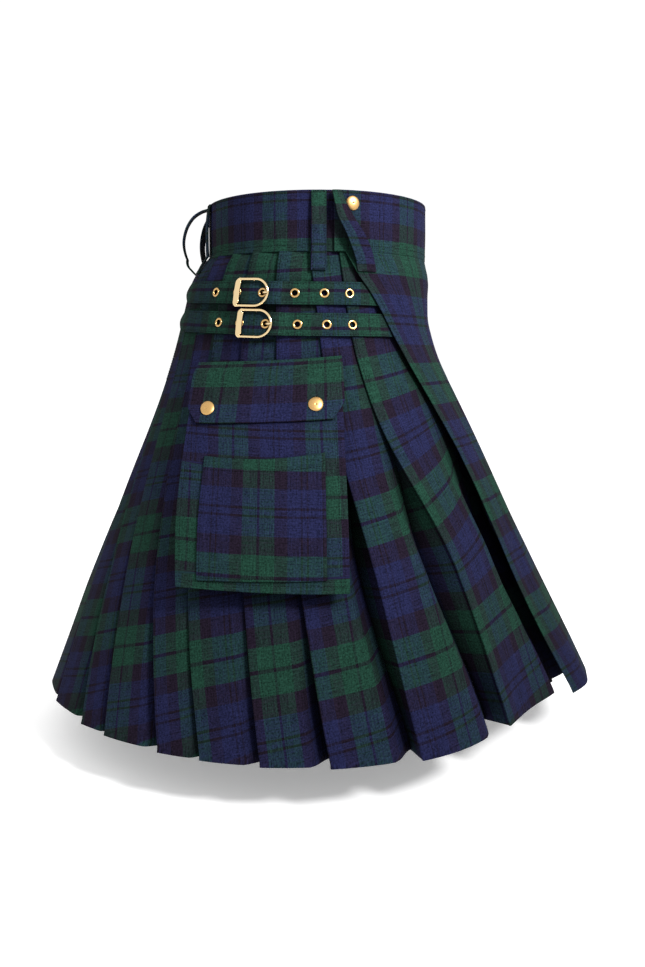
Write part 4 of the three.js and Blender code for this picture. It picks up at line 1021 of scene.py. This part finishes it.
def gusset():
    # from the mouth down the right side, along the bottom and up the left side
    inset, corner = 0.014, 0.035
    lower = pocket["bottom"] - 2.2
    rows = np.array([pocket["top"], 160, 195, 235, 280, 330])
    route = [(inset, slanted(r, inset), -1, 0) for r in rows]
    route += [(inset, lower - 7, -1, 0), (inset + corner, lower, -0.7, 0.7)]
    route += [(s, lower, 0, 1) for s in (0.2, 0.35, 0.5, 0.65, 0.8)]
    route += [(1 - inset - corner, lower, 0.7, 0.7), (1 - inset, lower - 7, 1, 0)]
    route += [(1 - inset, slanted(r, 1 - inset), 1, 0) for r in rows[::-1]]
    route = np.array(route, float)
    # even steps along each straight run, so that the corners stay where they are
    at = np.concatenate([np.linspace(0, 6, 44, endpoint=False), np.linspace(6, 7, 8, endpoint=False),
                         np.linspace(7, 13, 40, endpoint=False), np.linspace(13, 14, 8, endpoint=False),
                         np.linspace(14, len(route) - 1, 44)])
    line = np.stack([np.interp(at, np.arange(len(route)), route[:, k]) for k in range(4)], -1)
    share, down, sx, sy = (line[:, k:k + 1] for k in range(4))
    low = pocket["wall"] + pocket["seam"]
    high = deepAt(down) - pocket["seam"]
    tuck = 3 * smooth(8, 20, high - low)
    v = np.linspace(0, 1, 17)[None]
    sink = -tuck * np.interp(v, [0, 0.3, 0.5, 0.7, 1], [0, 1, 0, 1, 0])
    sink = sink + 0.5 * np.sin(down / 17 + 3 * v) * np.sin(np.pi * v) * smooth(8, 16, high - low)
    height = low + (high - low) * v
    points = onPocket(share + sx * sink / pocket["wide"], down + sy * sink, height)
    long = np.concatenate([[0.0], np.cumsum(np.linalg.norm(np.diff(points[:, 8], axis=0), axis=-1))])
    return cloth("pocket_gusset_cloth", points, 12 + 30 * v + 0 * long[:, None], long[:, None] + 20 + 0 * v,
                 pocket["wall"], materials["pocket"], rim=0.3)


pocketGusset = gusset()

# Patch pocket: its mouth dips in the middle and stands a little open
patch = {"top": 223, "topSlant": 9, "dip": 4, "foot": 358, "footSlant": 5, "gape": 2.2, "belly": 1.3}
patchV = np.concatenate([
    [0, 0.008, 0.02, 0.05, 0.085, 0.1, 0.12], np.linspace(0.15, 0.915, 38), [0.93, 0.94, 0.95, 0.965, 0.98, 0.99, 1]])
patchU = np.concatenate([
    [0, 0.008, 0.018, 0.03, 0.05, 0.06, 0.07], np.linspace(0.085, 0.915, 36),
    [0.93, 0.94, 0.95, 0.97, 0.982, 0.992, 1]])


def patchPoint(u, v, extra):
    # u runs from the right edge to the left one, v from the mouth to the foot
    right, left = 0.128 + 0.002 * v, 0.845 + 0.018 * v
    top = patch["top"] + patch["topSlant"] * u + patch["dip"] * np.sin(np.pi * u)
    down = top + (patch["foot"] + patch["footSlant"] * u - top) * v
    share = right + (left - right) * u
    gape = patch["gape"] * np.sin(np.pi * u) * (1 - smooth(0, 0.4, v))
    belly = patch["belly"] * np.sin(np.pi * u) ** 0.8 * np.sin(np.pi * np.clip(v, 0, 1)) ** 0.8
    # the turned-in border stands higher than the single cloth inside it
    border = 1 - smooth(0.055, 0.075, np.minimum(u, 1 - u)) * smooth(0.05, 0.07, 1 - v)
    height = deepAt(down) + slack(share, down) + pocket["wall"] + pocket["seam"] + gape + belly + border + extra
    return onPocket(share, down, height), down


v, u = np.meshgrid(patchV, patchU, indexing="ij")
groove = 0.3 * np.exp(-((v - 0.105) / 0.012) ** 2)
points, down = patchPoint(u, v, pocket["patchWall"] / 2 - groove)
patchPocket = cloth("patch_pocket_cloth", points, arcAcross(points) - 70.0, down - 221.0, pocket["patchWall"],
                    materials["pocket"], rim=0.5)


def patchLine(u, v):
    base, down = patchPoint(u, v, pocket["patchWall"] + 0.05)
    lifted, down = patchPoint(u, v, pocket["patchWall"] + 1.05)
    stitch("pocket", base, lifted)


edge = np.linspace(0.01, 0.98, 80)
patchLine(0.024 + 0 * edge, edge)
patchLine(0.976 + 0 * edge, edge)
patchLine(np.linspace(0.024, 0.976, 60), 0.978 + np.zeros(60))
patchLine(np.linspace(0.01, 0.99, 60), 0.105 + np.zeros(60))

# Flap: sewn to the hip above the mouth, with cut-off lower corners
flapRise = {"along": [0, 5, 11, 20], "height": [1.6, 3.6, 6.9, 8.2]}


def flapPoint(share, along, extra):
    down = flap["top"] + flap["slant"] * share + along
    lay = deepAt(down) + pocket["wall"] + pocket["seam"] + flap["clear"] + slack(share, down)
    rise = np.interp(along, flapRise["along"], flapRise["height"])
    meet = smooth(flap["turn"] - 3, flap["turn"] + 5, along)
    height = rise * (1 - meet) + np.maximum(lay, rise) * meet
    wave = 0.5 * np.sin(share * 9.5 + 0.6) * smooth(30, 68, along)
    return onPocket(share, down, height + wave + 0.5 * smooth(40, 68, along) + extra)


def flapCut(along):
    # the lower corners are cut off: each side comes in by this share of the width
    return 0.085 * smooth(46, flap["long"] + 6, along) / 0.9


flapAlong = np.concatenate([[0, 1, 2.5, 4.5, 6, 7.5, 9.5, 11, 12.5, 15], np.linspace(18, 62, 30), [64, 65.5, 67, 68]])
flapAcross = np.concatenate([[0, 0.008, 0.016, 0.03], np.linspace(0.05, 0.95, 50), [0.97, 0.984, 0.992, 1]])
along, across = np.meshgrid(flapAlong, flapAcross, indexing="ij")
share = -0.012 + flapCut(along) + across * (1.024 - 2 * flapCut(along))
groove = 0.35 * (np.exp(-((along - 6) / 1.0) ** 2) + np.exp(-((along - 11) / 1.0) ** 2))
points = flapPoint(share, along, pocket["flapWall"] / 2 - groove)
pocketFlap = cloth("pocket_flap_cloth", points, share * 145 - 17.5, along - 5.0, pocket["flapWall"],
                   materials["pocket"], rim=0.7)


def flapLine(share, along):
    top = pocket["flapWall"] - 0.25
    stitch("pocket", flapPoint(share, along, top), flapPoint(share, along, top + 1))


shares = np.linspace(0.005, 0.995, 90)
flapLine(shares, 6 + 0 * shares)
flapLine(shares, 11 + 0 * shares)
alongs = np.linspace(11, 64, 40)
flapLine(0.01 + flapCut(alongs), alongs)
flapLine(0.99 - flapCut(alongs), alongs)
print("pocket done")

# ---- snaps: domed caps on a flat rim, their backs closed by a fine ring
snapDome = [(0.05, 3.2), (1.8, 3.14), (3.6, 2.9), (5.0, 2.5), (6.2, 2.0), (6.9, 1.45), (7.3, 1.1), (7.5, 0.9),
            (7.72, 0.6), (7.7, 0.3), (7.5, 0.1), (7.2, 0.0), (3.0, 0.0), (0.05, 0.0)]


snaps = {
    "snap_waistband": {"turn": 73.5, "down": -47.0},
    "snap_flap_right": {"share": 0.185, "along": 50.0},
    "snap_flap_left": {"share": 0.86, "along": 51.0},
}
snap = {"sides": 48, "seat": 0.3}


def snapGrid(row):
    if "turn" in row:
        seat = bandSize["lap"] + bandSize["thick"] + snap["seat"]
        return roundForm(row["turn"], row["down"], seat, snapDome, snap["sides"])
    angle = np.arange(snap["sides"])[:, None] * 2 * np.pi / snap["sides"]
    radius, height = np.asarray(snapDome).T
    x, y = radius[None] * np.cos(angle), radius[None] * np.sin(angle)
    along = row["along"] + y - flap["slant"] * x / pocket["wide"]
    return flapPoint(row["share"] + x / pocket["wide"], along, pocket["flapWall"] + snap["seat"] + height[None] + 0 * x)


for name, row in snaps.items():
    tubePiece([(snapGrid(row), True)], f"{name}_brass", materials["snap"], {"nodes": [name], "slot": "snap_brass"})
print("snaps done")

# ---- sewing, then what each sheet was cut from
bandThread = stitchMesh("waistband_stitches", "band")
rightThread = stitchMesh("pleats_right_stitches", "pleats_right")
leftThread = stitchMesh("pleats_left_stitches", "pleats_left")
apronThread = stitchMesh("outer_apron_stitches", "apron")
stitchMesh("belt_loop_stitches", "loops")
stitchMesh("strap_stitches", "straps")
stitchMesh("pocket_stitches", "pocket")
# node: piece, width of its cloth, flat area, its stitches
skirtLong = 0.542
skirtFacts = {
    "pleats_right": (pleatsRight, 1.0, 0.48, [rightThread]),
    "pleats_left": (pleatsLeft, 1.0, 0.48, [leftThread]),
    "outer_apron": (outerApron, 0.35, 0.15, [apronThread]),
    "under_apron": (underApron, 0.29, 0.105, []),
}
# node: piece, flat size, what it is sewn on
pocketFacts = {
    "pocket_back": (pocketBack, (0.155, 0.258), ["pleats_right"]),
    "pocket_gusset": (pocketGusset, (0.63, 0.024), ["pocket_back"]),
    "pocket_front": (pocketFront, (0.17, 0.25), ["pocket_gusset"]),
    "patch_pocket": (patchPocket, (0.125, 0.137), ["pocket_front"]),
    "pocket_flap": (pocketFlap, (0.165, 0.075), ["pocket_front"]),
}
rideOn(waistband, {**bandFacts, "withPieces": [bandThread]})
for node, (item, wide, area, threads) in skirtFacts.items():
    facts = {"nodes": [node], "slot": "skirt_cloth", "held": "hung", "flat": (wide, skirtLong), "area": area,
             "restsOn": ["waistband"]}
    rideOn(item, {**facts, "withPieces": threads} if threads else facts)
for node, (item, flat, restsOn) in pocketFacts.items():
    rideOn(item, {"nodes": [node], "slot": "pocket_cloth", "held": "stretched", "flat": flat, "restsOn": restsOn})

# ---- stage: a pale floor below the hem that glows a little, soft light from all round and a
# soft key light with a narrow beam, so that it fades towards the hem
floorSize = {"half": 20000, "z": -600}
keyLight = {"place": (-1.75, -1.3, 1.2), "target": (-0.1, 0.0, 0.1), "size": 0.7, "power": 11.5, "spread": 46}
floorMaterial, floorTree = emptyMaterial("paintedFloor")
floorShader = addNode(floorTree, "ShaderNodeBsdfPrincipled", [
    ("Base Color", (0.98, 0.98, 0.98, 1.0)), ("Roughness", 1.0), ("Specular IOR Level", 0.0),
    ("Emission Color", (1.0, 1.0, 1.0, 1.0)), ("Emission Strength", 0.25)])
addNode(floorTree, "ShaderNodeOutputMaterial", [("Surface", floorShader.outputs[0])])
corners = np.array([(x * floorSize["half"], y * floorSize["half"], floorSize["z"])
                    for x, y in ((-1, -1), (1, -1), (1, 1), (-1, 1))], float)
floor = newObject("floor", corners, np.array([[0, 1, 2, 3]]), floorMaterial)

world = bpy.data.worlds.new("studio")
bpy.context.scene.world = world
world.use_nodes = True
world.node_tree.nodes["Background"].inputs["Color"].default_value = (1.0, 1.0, 1.0, 1.0)
world.node_tree.nodes["Background"].inputs["Strength"].default_value = 1.03


lightData = bpy.data.lights.new("keyLight", "AREA")
lightData.shape = "DISK"
lightData.size = keyLight["size"]
lightData.energy = keyLight["power"]
lightData.spread = math.radians(keyLight["spread"])
light = bpy.data.objects.new("keyLight", lightData)
light.location = keyLight["place"]
light.rotation_mode = "QUATERNION"
light.rotation_quaternion = (Vector(keyLight["target"]) - Vector(keyLight["place"])).to_track_quat("-Z", "Y")
bpy.context.scene.collection.objects.link(light)

# ---- camera, on the wearer's right; focal is in pixels of a picture 967 high
view = {"place": (-1.3224, 0.0120, -0.1492), "yaw": -0.837, "pitch": -6.881, "focal": 1055.0, "high": 967.0}
cameraData = bpy.data.cameras.new("camera")
cameraData.sensor_width = 36.0
cameraData.lens = view["focal"] * cameraData.sensor_width / view["high"]
camera = bpy.data.objects.new("camera", cameraData)
camera.location = view["place"]
yaw, pitch = math.radians(view["yaw"]), math.radians(view["pitch"])
look = Vector((math.cos(yaw) * math.cos(pitch), math.sin(yaw) * math.cos(pitch), math.sin(pitch)))
camera.rotation_mode = "QUATERNION"
camera.rotation_quaternion = look.to_track_quat("-Z", "Y")
bpy.context.scene.collection.objects.link(camera)
bpy.context.scene.camera = camera
bpy.context.scene.view_settings.view_transform = "Standard"

bpy.context.view_layer.update()
